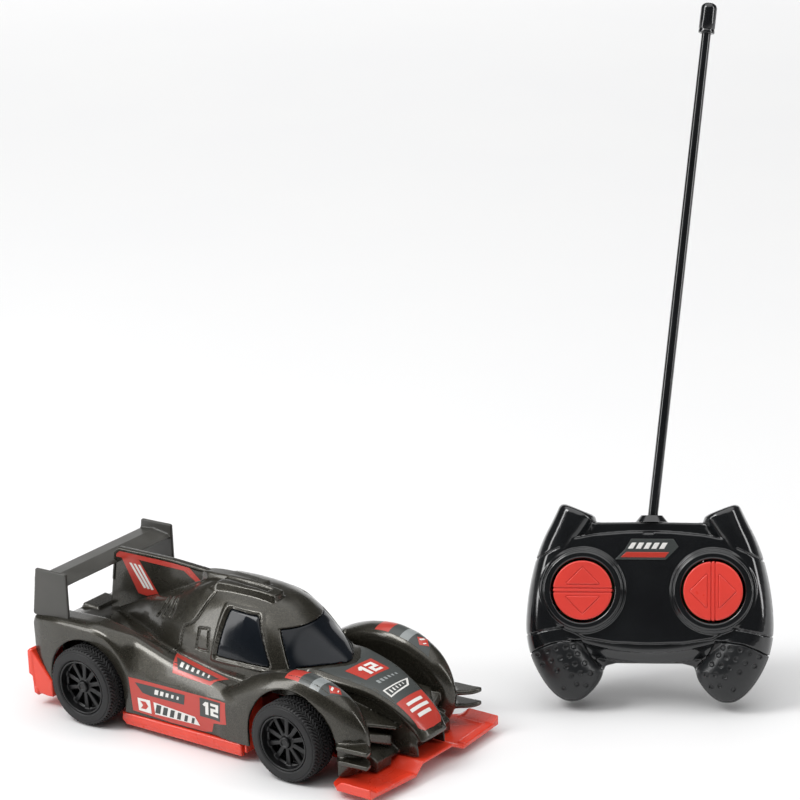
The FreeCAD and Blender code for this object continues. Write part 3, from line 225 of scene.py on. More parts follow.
def to_object(name, points, faces, matrix, smooth=True):
    """A Blender object from points in local millimetres and a list or array of faces."""
    mesh = bpy.data.meshes.new(name)
    spots = np.c_[np.asarray(points, dtype=np.float64), np.ones(len(points))] @ np.array(matrix).T
    faces = np.asarray(faces)
    mesh.vertices.add(len(points))
    mesh.vertices.foreach_set("co", spots[:, :3].astype(np.float32).ravel())
    corners = faces.shape[1]
    mesh.loops.add(faces.size)
    mesh.loops.foreach_set("vertex_index", faces.astype(np.int32).ravel())
    mesh.polygons.add(len(faces))
    mesh.polygons.foreach_set("loop_start", np.arange(0, faces.size, corners, dtype=np.int32))
    mesh.update(calc_edges=True)
    mesh.validate()
    if smooth:
        mesh.shade_smooth()
    item = bpy.data.objects.new(name, mesh)
    bpy.context.scene.collection.objects.link(item)
    return item


def field_object(name, field, grid, matrix, mirror=False):
    """An object from the zero surface of a field, with its faces turned outwards."""
    points, quads = mesh_points(field, grid, mirror)
    return to_object(name, points, quads[:, ::-1], matrix)


# ------------------------------------------------------------------ the car's body shell

WALL = 1.8
BODY_STEP = 0.5

FLANK = [(-108, 42.5), (-100, 44.6), (-85, 46), (-46, 46), (-20, 45.2), (10, 44.8), (35, 45.6), (60, 46),
         (80, 45.8), (95, 44.2), (102, 42.0), (107, 39.2), (110, 37)]
SHOULDER = [(-108, 46.5), (-104.7, 49.6), (-85, 51.8), (-66, 51.6), (-55.2, 49.6), (-45.2, 41.3), (-39, 32),
            (-34, 31), (40, 31)]
CREST = [(-108, 48.5), (-104, 50.6), (-85, 52.6), (-66, 53.2), (-50, 50.5), (-30, 45), (-15, 41.3), (5, 38.4),
         (25, 36.6), (45, 36)]
CREST_Y = [(-108, 40), (-60, 40), (-40, 36), (-20, 37), (45, 38.5)]
VALLEY = [(-108, 41), (-95, 44), (-84, 43.8), (-68, 42.1), (-48, 43.4), (-32, 42.5), (-10, 39), (45, 35)]
FENDER = [(18, 33), (26, 38.6), (34, 43.6), (44, 48.6), (56, 52.1), (68, 53.4), (80, 51.7), (90, 47.8),
          (97, 43.4), (102, 38.4), (106, 32.0), (108.6, 26), (110, 20)]
FENDER_IN = [(18, 33), (34, 29), (56, 28.5), (88, 28.5), (98, 29), (104, 31), (110, 34)]
CHANNEL = [(18, 35), (50, 34.5), (67, 33), (80, 28.5), (90, 24), (100, 17.5), (108, 12)]
NOSE_HALF = [(34, 20), (50, 21), (62, 21.6), (74, 20), (86, 17.5), (98, 14.6), (110, 12.5), (116, 11.4),
             (122, 8.8)]
RIM = [(34, 42), (50, 43.4), (62, 44.4), (74, 43.5), (86, 42), (92, 40.5), (98, 38), (104, 35), (110, 31.3),
       (116, 26.3), (122, 19)]
HOOD = [(34, 45), (50, 46), (62, 46.7), (74, 45.4), (86, 43.4), (92, 41.8), (98, 39.4), (104, 36.4),
        (110, 32.6), (116, 27.7), (122, 20.5)]
COVER_TOP = [(-92, 41), (-80, 46.6), (-71, 51), (-61.8, 55.2), (-54.7, 58.1), (-45.3, 61.9), (-34.8, 66.4),
             (-25.4, 71.1), (-18, 74.7), (-10, 76.7), (0, 76.9), (15, 76.2), (25, 75), (30, 74), (35, 72.3),
             (40, 69.5), (45, 65.7), (48.5, 62.6), (60, 54.0), (72, 45.4), (74.5, 42.5)]
COVER_HALF = [(-92, 4), (-73, 6.2), (-62, 10), (-50, 17), (-35, 24), (-15, 28.7), (10, 30.5), (35, 29.9),
              (45, 28.2), (49, 26.4), (53, 24.9), (57, 23), (60, 21), (64, 17.4), (68, 13.1), (71, 8),
              (73.5, 2)]
CANARD = eased([(94, 38), (94.4, 46.2), (98, 49.4), (104, 51.8), (111, 53.2), (115.4, 52.6), (116.2, 46),
                (113.6, 41), (107, 37), (100, 32)])
ARCHES = ((-AXLE_X - 2.5, 25.3), (AXLE_X - 1.0, 27.6))
ARCH_Z = 18.5
ARCH_INNER_Y = 30.5
SIDE_PANE_INNER_Y = 13.5
BODY_SCREWS = ((-86, 22), (90, 9))


def upper_side(ay, half, top, shoulder, crest_y, power):
    """Height of a fender's top: level at its crest, then down to the shoulder at the flank."""
    spread = np.clip((ay - crest_y) / np.maximum(half - crest_y, 1), 0, 1)
    return top - (top - shoulder) * spread ** power


def main_block(g):
    """Flanks, the rear fenders and the deck between them, as far forward as the front wheels."""
    x, z, ay = g.x, g.z, np.abs(g.y)
    half = curve(x, FLANK)
    crest = curve(x, CREST)
    top = upper_side(ay, half, crest, curve(x, SHOULDER), curve(x, CREST_Y), 1.9)
    valley = curve(x, VALLEY)
    inner = ramp(ay, curve(x, [(-108, 29.6), (-82, 28.8), (-50, 25.5)]), 32.8)
    height = valley + (top - valley) * inner
    cap = (z - height) * 0.86
    side = ay - half - 0.02 * (z - 30)
    ends = np.maximum(-108.0 - x, x - 40.0)
    return smax(smax(cap, side, 2.4), ends, 2.0)


def tail_block(g):
    """The raised block between the wing's end plates at the very back of the deck."""
    outline = polygon(g.x, g.z, [(-105.6, 30), (-105.6, 40.5), (-102.4, 45.6), (-92.0, 45.2), (-88, 41),
                                 (-88, 30)])
    return smax(outline, np.abs(g.y) - 9.0, 0.9)


def front_fenders(g):
    """The two rounded front fenders."""
    x, z, ay = g.x, g.z, np.abs(g.y)
    half = curve(x, FLANK)
    crest = curve(x, FENDER)
    inner = curve(x, FENDER_IN)
    middle_y = (inner + half) / 2 + 0.6
    out = np.clip((ay - middle_y) / np.maximum(half - middle_y, 1), 0, 1.3)
    into = np.clip((middle_y - ay) / np.maximum(middle_y - inner, 1), 0, 1.3)
    height = crest - 7.2 * out ** 2.6 - 3.4 * into ** 2.4
    steep = np.abs(np.gradient(crest[:, 0, 0], g.step))[:, None, None]
    cap = (z - height) / np.sqrt(1 + steep * steep)
    side = smax(ay - half, inner - ay, 2.0)
    front = 109.6 - 0.022 * np.maximum(27 - z, 0) ** 2 - 0.03 * (ay - 36.5) ** 2
    ends = np.maximum(17.0 - x, x - front)
    return smax(smax(cap, side, 3.6), ends, 5.0)


def channels(g):
    """The sunken floor between the nose and each front fender, falling towards the front."""
    x, z, ay = g.x, g.z, np.abs(g.y)
    cap = (z - curve(x, CHANNEL)) * 0.9
    return both(cap, ay - 31.0, 16.0 - x, x - 108.0)


def nose(g):
    """The crowned hood with its raised rim, and the walls under it down to the blunt tip."""
    x, z, ay = g.x, g.z, np.abs(g.y)
    half = curve(x, NOSE_HALF)
    rim = curve(x, RIM)
    hood = curve(x, HOOD)
    inboard = np.clip((half - ay) / 3.2, 0, 1)
    middle_y = np.clip(1 - (ay / np.maximum(half, 1)) ** 2, 0, 1)
    height = rim + (hood - rim) * inboard ** 0.8 + 1.1 * middle_y
    steep = np.abs(np.gradient(hood[:, 0, 0], g.step))[:, None, None]
    cap = (z - height) / np.sqrt(1 + steep * steep)
    strip = ramp(rim - z, 2.6, 3.4)
    flare = 2.0 * ramp(x, 100, 118) * ramp(24 - z, 0, 10)
    side = ay - (half - 1.1 * strip + flare)
    tip = x - 122.3 + 0.1 * np.maximum(16 - z, 0) + 0.004 * ay * ay
    notch = smax(ay - 10.5, z - 17.8, 1.4)
    block = smax(smax(cap, side, 0.9), smax(tip, 33.0 - x, 1.4), 1.4)
    return carve(block, np.maximum(notch, 112 - x), 1.0)


def blades(g):
    """Two thin plates on each side between the nose's wall and the fender."""
    x, z, ay = g.x, g.z, np.abs(g.y)
    upper_plan = polygon(x, ay, [(80, 17.5), (108.6, 12), (108.8, 15.5), (99, 27.5), (84, 19.5)])
    upper_level = 34.6 - 0.37 * (x - 84) + 0.02 * (ay - 14)
    upper = smax(upper_plan, np.abs(z - upper_level + 0.9) - 0.9, 0.5)
    lower_plan = polygon(x, ay, [(97, 14), (106.4, 15.5), (102.6, 30), (96, 30)])
    lower_top = 21.0 + 0.33 * (ay - 16) - 0.15 * (x - 104)
    lower_foot = 14.8 + 0.33 * (ay - 16) + 0.5 * (106 - x)
    lower = smax(lower_plan, np.maximum(z - lower_top, lower_foot - z), 0.6)
    return np.minimum(upper, lower)


def canards(g):
    """Two small dive planes on the outer front corner of each front fender."""
    x, z, ay = g.x, g.z, np.abs(g.y)
    plan = polygon(x, ay, CANARD)
    upper = smax(plan, np.abs(z - 23.6 - 0.04 * (x - 105)) - 1.2, 0.9)
    lower = smax(plan + 0.4, np.abs(z - 16.2 - 0.04 * (x - 105)) - 1.15, 0.9)
    return np.minimum(upper, lower)


def canopy(g):
    """The cockpit's dome and, behind it, the engine cover that runs down to the tail."""
    x, z, ay = g.x, g.z, np.abs(g.y)
    top = curve(x, COVER_TOP)
    half = np.maximum(curve(x, COVER_HALF), 0.5)
    rise = np.clip((z - 40) / np.maximum(top - 40, 0.5), 0, 1.6)
    power = curve(x, [(20, 3.46), (40, 2.6), (52, 2.1), (74, 2.0)])
    field = level((ay / half) ** power + rise ** 1.35 - 1, g.step, 0.008)
    return both(field, ay - half - 1.5, 30 - z, -92 - x, x - 74.2)


def wheel_openings(g):
    """The round openings in the flanks for the wheels, open at the bottom."""
    x, z, ay = g.x, g.z, np.abs(g.y)
    openings = []
    for centre, radius in ARCHES:
        round_part = np.sqrt((x - centre) ** 2 + (z - ARCH_Z) ** 2) - radius
        sill = np.maximum(np.abs(x - centre) - radius, z - ARCH_Z)
        openings.append(np.maximum(np.minimum(round_part, sill), ARCH_INNER_Y - ay))
    return either(*openings)


def body_solid(g):
    """The outer form of the body without any openings."""
    whole = main_block(g)
    for part, fillet in ((tail_block, 0.8), (channels, 1.5), (front_fenders, 2.0), (canopy, 1.6), (nose, 0.7),
                         (blades, 0.5)):
        whole = smin(whole, part(g), fillet)
    return whole


# ------------------------------------------------------------------ windows, grooves and rails

SCREEN = [(39.0, 63.6), (44.0, 55.1), (50.0, 44.0), (52.0, 40.0), (75, 40.0), (75, 63.6)]
SIDE_GLASS = [(10.4, 68.4), (26.2, 67.4), (38.0, 47.4), (7.2, 47.3)]
SIDE_FRAME = [(6.6, 71.0), (28.2, 70.4), (42.2, 45.0), (3.6, 44.4)]
DOOR_LINE = [(-4.1, 74.2), (-6.6, 68), (-9.4, 62.6), (-13, 58.6), (-17.9, 56.4), (-19.2, 51), (-19.8, 45.8),
             (-24.0, 42.0)]
PANEL = [(-7.2, 57.8), (-0.6, 58.3), (0.4, 47.3), (-7.8, 47.2)]


def screen_region(g):
    """The column that bounds the windscreen, cut off at the hood by the hood's own rim."""
    sides = polygon(g.x, g.z, SCREEN)
    ay = np.abs(g.y)
    rim_line = np.where(ay < 22, curve(g.x, HOOD) + 0.5, 43.6)
    return both(sides, (rim_line - g.z) * 0.9, ay - 27.6, g.x - 74.6)


def side_region(g):
    """The columns that bound the side windows."""
    return polygon(g.x, g.z, SIDE_GLASS) - 1.2


def engrave(field, g):
    """Grooves, panel lines, window frames and louvres, cut or raised on the outer skin."""
    x, z, ay = g.x, g.z, np.abs(g.y)
    bounds = np.maximum(SIDE_PANE_INNER_Y - ay, ay - 33.0)
    raised = both(polygon(x, z, SIDE_FRAME) - 1.0, bounds, 40.0 - z)
    field = np.minimum(field, smax(field - 0.6, raised, 1.1))
    field = recess(field, np.maximum(polygon(x, z, SIDE_GLASS) - 2.3, bounds), 0.75, 0.6)
    lines = np.minimum(line_gap(x, z, DOOR_LINE), np.abs(polygon(x, z, PANEL))) - 0.35
    field = recess(field, np.maximum(lines, bounds), 0.55, 0.25)
    bow = x - 0.35 * (z - 60) + 0.05 * (z - 59) ** 2
    for start in (-41.4, -36.6, -31.8):
        tall = np.abs(z - 59.6 - (start + 36) * 0.3) - 4.6
        slot = both(smax(np.abs(bow - start - 2.0) - 0.95, tall, 0.8), 9.0 - ay, ay - 30)
        field = recess(field, slot, 0.95, 0.5)
    return field


def roof_pieces(g):
    """The spine that runs forward from the fin, and the raised duct beside it on the right."""
    x, y, z = g.x, g.y, g.z
    roof = curve(x, COVER_TOP)
    half = curve(x, [(-34, 0.6), (-25, 1.2), (-18, 3.4), (-6, 4.0), (17.6, 3.2)])
    flare = 0.25 * ramp(x, -27, -17)
    spine_top = curve(x, [(-34, 69), (-24, 77.6), (-16, 78.6), (0, 79.2), (17.6, 79.0)])
    spine = smax(smax(z - spine_top, np.abs(y) - half - flare * (spine_top - z), 0.6), x - 17.6, 0.8)
    spine = both(spine, -34 - x, roof - 8 - z)
    left = curve(x, [(-7, -2.4), (10, -1.9), (29.5, -1.4)])
    right = curve(x, [(-7, -13.4), (0, -12.6), (15, -11.2), (29.5, -9.4)])
    duct_top = roof + curve(x, [(-9, -1.5), (-4, 2.3), (10, 2.4), (22, 2.9), (29.5, 3.0)])
    duct_top = duct_top - 0.004 * (y + 6) ** 2
    duct = smax(z - duct_top, np.maximum(y - left - 0.5, right - y - 0.3 * (duct_top - z)), 0.6)
    duct = smax(duct, x - 29.8 + 0.02 * (y + 5.5) ** 2 - 0.25 * (duct_top - z), 0.7)
    duct = both(duct, -9 - x, roof - 8 - z)
    groove = both(np.abs(y + 5.6) - 2.2, z - roof - 4, np.abs(x - 8) - 16.0, duct_top - 0.9 - z)
    return smin(spine, carve(duct, groove, 0.5), 0.5)


body_grid = Grid((-110, 0, 5.6), (124.5, 47.6, 80.4), BODY_STEP)
bx, by, bz = body_grid.x, np.abs(body_grid.y), body_grid.z
plain_skin = level(body_solid(body_grid), BODY_STEP)
skin = engrave(plain_skin, body_grid)
hem = curve(bx, [(-108, 9.6), (88, 9.6), (93, 6.3), (124, 6.3)])
hem = np.maximum(hem, 9.8 * ramp(bx, 99, 101) * (by < 19))
shell = np.maximum(carve(skin, plain_skin + WALL, 0.4), hem - bz)
corner_cut = ((bx + 94.8) * 14.9 + (bz - 15.4) * 13.2) / 19.9 - 0.15
shell = np.maximum(shell, -both(corner_cut, bx + 93.0, 21.8 - by))
shell = carve(shell, wheel_openings(body_grid), 0.5)
panes = np.minimum(screen_region(body_grid), np.maximum(side_region(body_grid), SIDE_PANE_INNER_Y - by))
shell = carve(shell, panes, 0.4)
shell = smin(shell, np.maximum(canards(body_grid), -(skin + 1.0)), 0.8)
for post_x, post_y in BODY_SCREWS:
    ring = np.sqrt((bx - post_x) ** 2 + (by - post_y) ** 2)
    boss = both(ring - 3.0, 7.1 - bz, plain_skin + 0.9)
    shell = np.minimum(shell, np.maximum(boss, np.minimum(1.1 - ring, 22 - bz)))


def both_halves(half_field, grid):
    """The whole field from its left half, and the grid that goes with it."""
    block = np.ascontiguousarray(half_field, dtype=np.float32)
    whole = np.concatenate([block[:, :0:-1, :], block], axis=1)
    high = grid.low[1] + (block.shape[1] - 1) * grid.step
    wide = Grid((grid.low[0], -high, grid.low[2]),
                (grid.low[0] + (block.shape[0] - 1.5) * grid.step, high - 0.5 * grid.step,
                 grid.low[2] + (block.shape[2] - 1.5) * grid.step), grid.step)
    return whole, wide


def crop(field, grid, low, high):
    """A window of a field: the index ranges and the grid of just that part."""
    starts = [max(0, int((a - b) / grid.step)) for a, b in zip(low, grid.low)]
    stops = [min(n, int((a - b) / grid.step) + 2) for a, b, n in zip(high, grid.low, field.shape)]
    part = Grid.__new__(Grid)
    part.step = grid.step
    part.low = np.array([b + s * grid.step for b, s in zip(grid.low, starts)], dtype=np.float32)
    part.x = grid.x[starts[0]:stops[0]]
    part.y = grid.y[:, starts[1]:stops[1]]
    part.z = grid.z[:, :, starts[2]:stops[2]]
    return tuple(slice(a, b) for a, b in zip(starts, stops)), part


shell, wide_grid = both_halves(shell, body_grid)
window, roof_grid = crop(shell, wide_grid, (-36, -16, 60), (32, 8, 80.3))
shell[window] = smin(shell[window], roof_pieces(roof_grid), 0.7)
body = field_object("car_body", shell, wide_grid, CAR)
pane_skin = np.maximum(plain_skin + 0.35, -(plain_skin + 1.55))
screen_pane = smax(pane_skin, screen_region(body_grid) + 0.3, 0.4)
screen = field_object("windscreen_pane", screen_pane, body_grid, CAR, True)
side_pane = smax(pane_skin, np.maximum(side_region(body_grid) + 0.3, SIDE_PANE_INNER_Y - by), 0.4)
side_windows = field_object("side_window_panes", side_pane, body_grid, CAR, True)
del shell, skin, panes, screen_pane, side_pane, pane_skin


# ------------------------------------------------------------------ wheels

TYRE_RADIUS = 21
TYRE_MIDDLE_Y = 45.5
TREAD_CUTS = 64
SPOKES = 10


def turned_profile(g, points):
    """Distance to a ring turned about Y, from its outline in (radius, y)."""
    return polygon(np.sqrt(g.x ** 2 + g.z ** 2), g.y, points)


def off_centre(angle, count):
    """The angle from the middle of the nearest of so many equal sectors, as a signed share of one."""
    return (angle * count / (2 * math.pi)) % 1.0 - 0.5


def tyre_field(g):
    """A broad flat-sided tyre with fine wavy cuts across the tread and three round grooves."""
    radius = np.sqrt(g.x ** 2 + g.z ** 2)
    angle = np.arctan2(g.z, g.x)
    field = turned_profile(g, [(14.75, 37.7), (15.6, 37.1), (19.4, 37.4), (20.6, 38.4), (21.0, 40.2),
                               (21.0, 50.8), (20.6, 52.6), (19.4, 53.6), (15.6, 53.95), (14.75, 53.3)])
    sway = 0.06 * np.sin((g.y - TYRE_MIDDLE_Y) * 1.15)
    across = np.abs(off_centre(angle + sway, TREAD_CUTS)) * 2 * math.pi * TYRE_RADIUS / TREAD_CUTS
    cuts = both(across - 0.42, 19.95 - radius, np.abs(g.y - TYRE_MIDDLE_Y) - 7.9)
    for groove_y in (41.6, TYRE_MIDDLE_Y, 49.4):
        cuts = np.minimum(cuts, np.maximum(np.abs(g.y - groove_y) - 0.36, 20.2 - radius))
    ring = np.maximum(np.abs(radius - 19.2) - 0.28, 53.2 - g.y)
    return carve(carve(field, cuts, 0.25), ring, 0.2)


def rim_field(g):
    """A deep barrel, ten spokes and a hub with a small cap over the end of the axle."""
    radius = np.sqrt(g.x ** 2 + g.z ** 2)
    angle = np.arctan2(g.z, g.x)
    barrel = turned_profile(g, [(13.3, 37.8), (14.55, 37.8), (14.55, 53.2), (14.1, 53.5), (13.5, 53.3),
                                (13.1, 49.4), (12.2, 49.0), (12.2, 47.6), (13.2, 47.2)])
    turn = np.abs(off_centre(angle, SPOKES)) * 2 * math.pi / SPOKES
    sideways = radius * np.sin(turn)
    rise = np.clip((radius - 4) / 9, 0, 1)
    width = 1.1 + 0.35 * rise
    top = 50.3 - 0.5 * rise
    spoke = smax(sideways - width, np.abs(g.y - top + 1.3) - 1.3, 0.5)
    spoke = both(spoke, radius - 13.2, 2.0 - radius)
    hub = turned_profile(g, [(0, 40), (4.2, 40), (4.2, 49.4), (3.9, 50.0), (3.1, 50.2), (3.1, 52.1),
                             (2.7, 52.6), (0, 52.6)])
    hexagon = radius * np.cos(off_centre(angle, 6) * 2 * math.pi / 6)
    socket = np.maximum(hexagon - 1.7, 52.15 - g.y)
    plate = turned_profile(g, [(2, 43.6), (13.4, 43.6), (13.4, 44.8), (2, 44.8)])
    field = np.minimum(smin(smin(barrel, spoke, 0.8), hub, 0.8), plate)
    bore = turned_profile(g, [(-1, 36), (1.56, 36), (1.56, 50.65), (2.7, 50.65), (2.7, 51.75), (-1, 51.75)])
    return carve(carve(field, bore, 0.2), socket, 0.25)


wheel_grid = Grid((-21.6, 36.4, -21.6), (21.6, 54.6, 21.6), 0.3)
rim_grid = Grid((-15.3, 36.9, -15.3), (15.3, 53.4, 15.3), 0.26)
tyre_points, tyre_quads = mesh_points(tyre_field(wheel_grid), wheel_grid)
rim_points, rim_quads = mesh_points(rim_field(rim_grid), rim_grid)


def wheel_piece(name, points, quads, x, side):
    """A copy of the left-hand mesh, or its mirror image, at one of the four axle ends."""
    moved = points * np.array([side, side, 1.0]) + np.array([x, 0.0, AXLE_Z])
    return to_object(name, moved, quads[:, ::-1], CAR)


wheels = {}
for corner, x, side in (("front_left", AXLE_X, 1), ("front_right", AXLE_X, -1),
                        ("rear_left", -AXLE_X, 1), ("rear_right", -AXLE_X, -1)):
    wheels[corner] = (wheel_piece("tread_" + corner, tyre_points, tyre_quads, x, side),
                      wheel_piece("wheel_rim_" + corner, rim_points, rim_quads, x, side))


# ------------------------------------------------------------------ chassis tray and splitter

def slab(g, x0, x1, y0, y1, z0, z1):
    """Distance to a block; y is measured outwards from the car's centre plane."""
    ay = np.abs(g.y)
    across = np.maximum(y0 - ay, ay - y1) if y0 > 0 else ay - y1
    return both(x0 - g.x, g.x - x1, across, z0 - g.z, g.z - z1)


def post(g, x, y, radius, z0, z1):
    """Distance to an upright round post and its twin on the other side."""
    ring = np.sqrt((g.x - x) ** 2 + (np.abs(g.y) - y) ** 2) - radius
    return both(ring, z0 - g.z, g.z - z1)


def splitter(g):
    """The broad splitter: a thin plate with raised lips along its outer and front edges."""
    ay = np.abs(g.y)
    outline = polygon(g.x, ay, [(88, -2), (88, 24), (94.4, 48.8), (100.2, 53.7), (121.4, 53.7),
                                (124.2, 20.6), (122.8, 12.6), (122.8, -2)])
    slope = np.clip((19.8 - ay) / 7.4, 0, 1)
    centre = 3.7 * slope
    lip = 0.62 * np.clip(ay - 47.6, 0, 7) * ramp(g.x, 98, 104)
    border = 0.8 * (smax(outline + 5.0, 21 - ay, 0.6) > 0) * (ay > 21) * (g.x > 114)
    sill = 3.65 + centre * ramp(g.x, 99, 103)
    top = np.maximum(5.4 + lip, 5.4 + border) + centre * ramp(g.x, 97, 101)
    return smax(smax(g.z - top, outline, 0.5), sill - g.z, 0.4)


def chassis_field(g):
    """The red tray: pan, skirts, rear corners, battery bay, brackets and splitter."""
    ay = np.abs(g.y)
    plan = polygon(g.x, ay, [(-104.8, -2), (-104.8, 31), (-46.5, 31), (-46.5, 45.6), (33, 45.6), (33, 25),
                             (97, 25), (97, -2)])
    field = smax(plan, np.maximum(5.05 - g.z, g.z - 7), 0.3)
    skirt = smax(polygon(g.x, g.z, [(-46.4, 9.5), (-46.4, 4.6), (-44.6, 2.7), (32.9, 2.7), (32.9, 9.5)]),
                 np.maximum(42.6 - ay, ay - 45.7 + 0.05 * (9.5 - g.z)), 0.8)
    field = smin(field, skirt, 0.5)
    back = smax(polygon(g.x, g.z, [(-110.9, 29.5), (-109.4, 30.9), (-107.4, 30.4), (-107.15, 10), (-104.8, 9.2),
                                   (-104.8, 5.1), (-108.0, 6.2), (-108.4, 15.4), (-110.9, 16.4)]),
                np.maximum(21.5 - ay, ay - 45.8), 1.0)
    wedge = polygon(g.x, g.z, [(-108.6, 30.2), (-107.6, 30.3), (-94.9, 15.6), (-94.9, 6.3), (-99.4, 6.0),
                               (-104.6, 7.4), (-107.8, 11.0), (-108.6, 16)])
    corner = smin(back, smax(wedge, np.maximum(34.0 - ay, ay - 45.4), 0.8), 0.6)
    ledge = smax(slab(g, -105.6, -96.5, 30, 45.0, 6.4, 8.6), np.maximum(g.x + 96.5, -106 - g.x), 0.4)
    field = smin(field, smin(corner, ledge, 0.4), 0.5)
    for *sides, fillet in (
        (34.4, 36.0, 30, 45.0, 5.2, 31.5, 0.5),                     # liner behind the front wheel
        (-35.5, 26.5, 0, 28.9, 6, 24, 0.6),                         # battery bay
        (AXLE_X - 4, AXLE_X + 4, 23.5, 28, 6, 27.75, 0.5),          # tower under the steering bridge
        (AXLE_X - 3, AXLE_X + 3, 23.5, 36.8, 6, 8.95, 0.5),         # lower kingpin arm
        (-AXLE_X - 5, -AXLE_X + 5, 27, 31, 6, AXLE_Z + 5, 0.5),     # block for the axle bush
    ):
        field = smin(field, slab(g, *sides), fillet)
    field = smin(field, splitter(g), 0.4)
    field = smin(field, post(g, 43, 0, 1.2, 6, 12.9), 0.3)
    cavity = np.minimum(slab(g, -34, 25, 0, 27.4, 7.0, 22.5), slab(g, -33.2, 24.2, 0, 25.6, 0, 8))
    field = carve(field, cavity, 0.3)
    for x, y in BODY_SCREWS:
        field = carve(field, np.minimum(post(g, x, y, 1.4, 0, 10), post(g, x, y, 2.5, 0, 6.4)), 0.2)
    bush = np.sqrt((g.x + AXLE_X) ** 2 + (g.z - AXLE_Z) ** 2) - 3.0
    for hole, ease in (
        (slab(g, -91.5, -80.5, 0, 2.5, 0, 8), 0.2),                 # slot for the power switch
        (post(g, AXLE_X, 34.5, 1.28, 0, 12), 0.2),                  # kingpin bore
        (np.maximum(bush, 26 - ay), 0.2),                           # seat of the axle bush
        (slab(g, 40, 62, 0, 20, 0, 5.6), 0.3),                      # shallow recess in the pan's underside
    ):
        field = carve(field, hole, ease)
    return field


tray_grid = Grid((-112.2, 0, 2.0), (125.2, 54.6, 31.6), 0.5)
tray = field_object("chassis_tray", level(chassis_field(tray_grid), tray_grid.step), tray_grid, CAR, True)


# ------------------------------------------------------------------ tail fin and rear wing

FIN = [(-84.8, 75.7), (-81.6, 78.6), (-45, 79.3), (-20.4, 78.3), (-13, 78.0), (-13, 74), (-25.4, 69.2),
       (-34.8, 64.4), (-45.3, 59.9), (-54.7, 56), (-61.8, 53), (-76.1, 46.2), (-84.6, 42.0), (-90.3, 41.5)]
FIN_HALF = 1.5
WING_PLATE = [(-105.3, 51.6), (-102.0, 75.4), (-83.2, 75.9), (-83.2, 51.6)]
WING_BLADE = [(-103.9, 69.6), (-103.6, 71.5), (-94, 72.6), (-84.4, 71.4), (-82.6, 70.2), (-84.4, 69.2),
              (-94, 70.2)]

fin_grid = Grid((-92, -3.4, 40), (-11.5, 3.4, 80.3), 0.3)
fin_side = polygon(fin_grid.x, fin_grid.z, FIN)
fin_y = np.abs(fin_grid.y)
fin_bead = np.maximum(np.abs(fin_side + 0.9) - 0.8, 60 - fin_grid.z)
fin_field = smin(smax(fin_side, fin_y - FIN_HALF, 0.9), smax(fin_bead, fin_y - 1.75, 0.5), 0.4)
fin = field_object("tail_fin", fin_field, fin_grid, CAR)

wing_grid = Grid((-107.4, 0, 48.6), (-81.0, 44.4, 77.4), 0.36)
wy = np.abs(wing_grid.y)
wing_plates = smax(polygon(wing_grid.x, wing_grid.z, WING_PLATE) - 1.3, np.abs(wy - 42.15) - 0.85, 0.7)
wing_blade = smax(polygon(wing_grid.x, wing_grid.z, WING_BLADE), wy - 42.3, 0.2)
wing = field_object("wing_moulding", smin(wing_plates, wing_blade, 0.9), wing_grid, CAR, True)


# ------------------------------------------------------------------ handset shells

HAND_STEP = 0.42
HAND_WALL = 2.0
FACE_Z, BACK_Z = 11.0, -19.0
CORE = [(-2, 35.4), (26.3, 35), (34, 30), (50, 10), (53, -15), (42, -28), (24, -40), (22.8, -38.9), (17, -37.5),
        (-2, -37.5)]
TUBE = eased([(19.5, 52), (43.0, 51), (49.5, 36.8), (55, 26.6), (59.2, 15), (62.8, -1.8), (64.1, -19.4),
              (62.3, -31.5), (58.1, -41.7), (51.6, -51.5), (45.1, -56.6), (40, -57.6), (34.9, -56.6),
              (29.3, -52), (24.6, -45.4), (23.6, -40), (28.4, -35), (37.5, -20.5), (40, 0), (39.5, 12),
              (36, 22), (31.8, 28.5)])
PLATE = [(-2, 30.3), (12, 30.0), (28, 28.6), (39, 26.6), (41.2, 22.2), (46, 12), (47, -10), (42.8, -19.3),
         (32.6, -24.4), (18, -26.7), (-2, -27.3)]
GRIP = [(34.5, -25.8), (40, -26.1), (48.5, -27.3), (56, -30.2), (68, -36.5), (68, -64), (16, -64), (16, -42),
        (24, -41.5), (29.5, -34.5)]
DIMPLES = [(51.6, -31.3), (47.1, -29.9), (42.3, -29.3), (38.3, -29.0), (56.7, -33.3), (49.7, -36.1),
           (44.9, -34.8), (40.3, -33.6), (36.2, -32.7), (54.2, -38), (46.7, -41), (41.8, -39.2),
           (37.5, -37.8), (32.6, -37.5), (39.3, -43.6), (34.6, -42.5), (29.7, -42.7), (43.4, -50),
           (36.7, -48.2), (32.2, -48.7)]
CASE_SCREWS = ((48, 21), (48, -34))


def rounded_slab(outline, z, low, high, radius):
    """A slab between two levels, its rim turned with the given radius."""
    half = (high - low) / 2
    ease = np.minimum(radius, half)
    a = outline + ease
    b = np.abs(z - (high + low) / 2) - (half - ease)
    return np.sqrt(np.maximum(a, 0) ** 2 + np.maximum(b, 0) ** 2) + np.minimum(np.maximum(a, b), 0) - ease


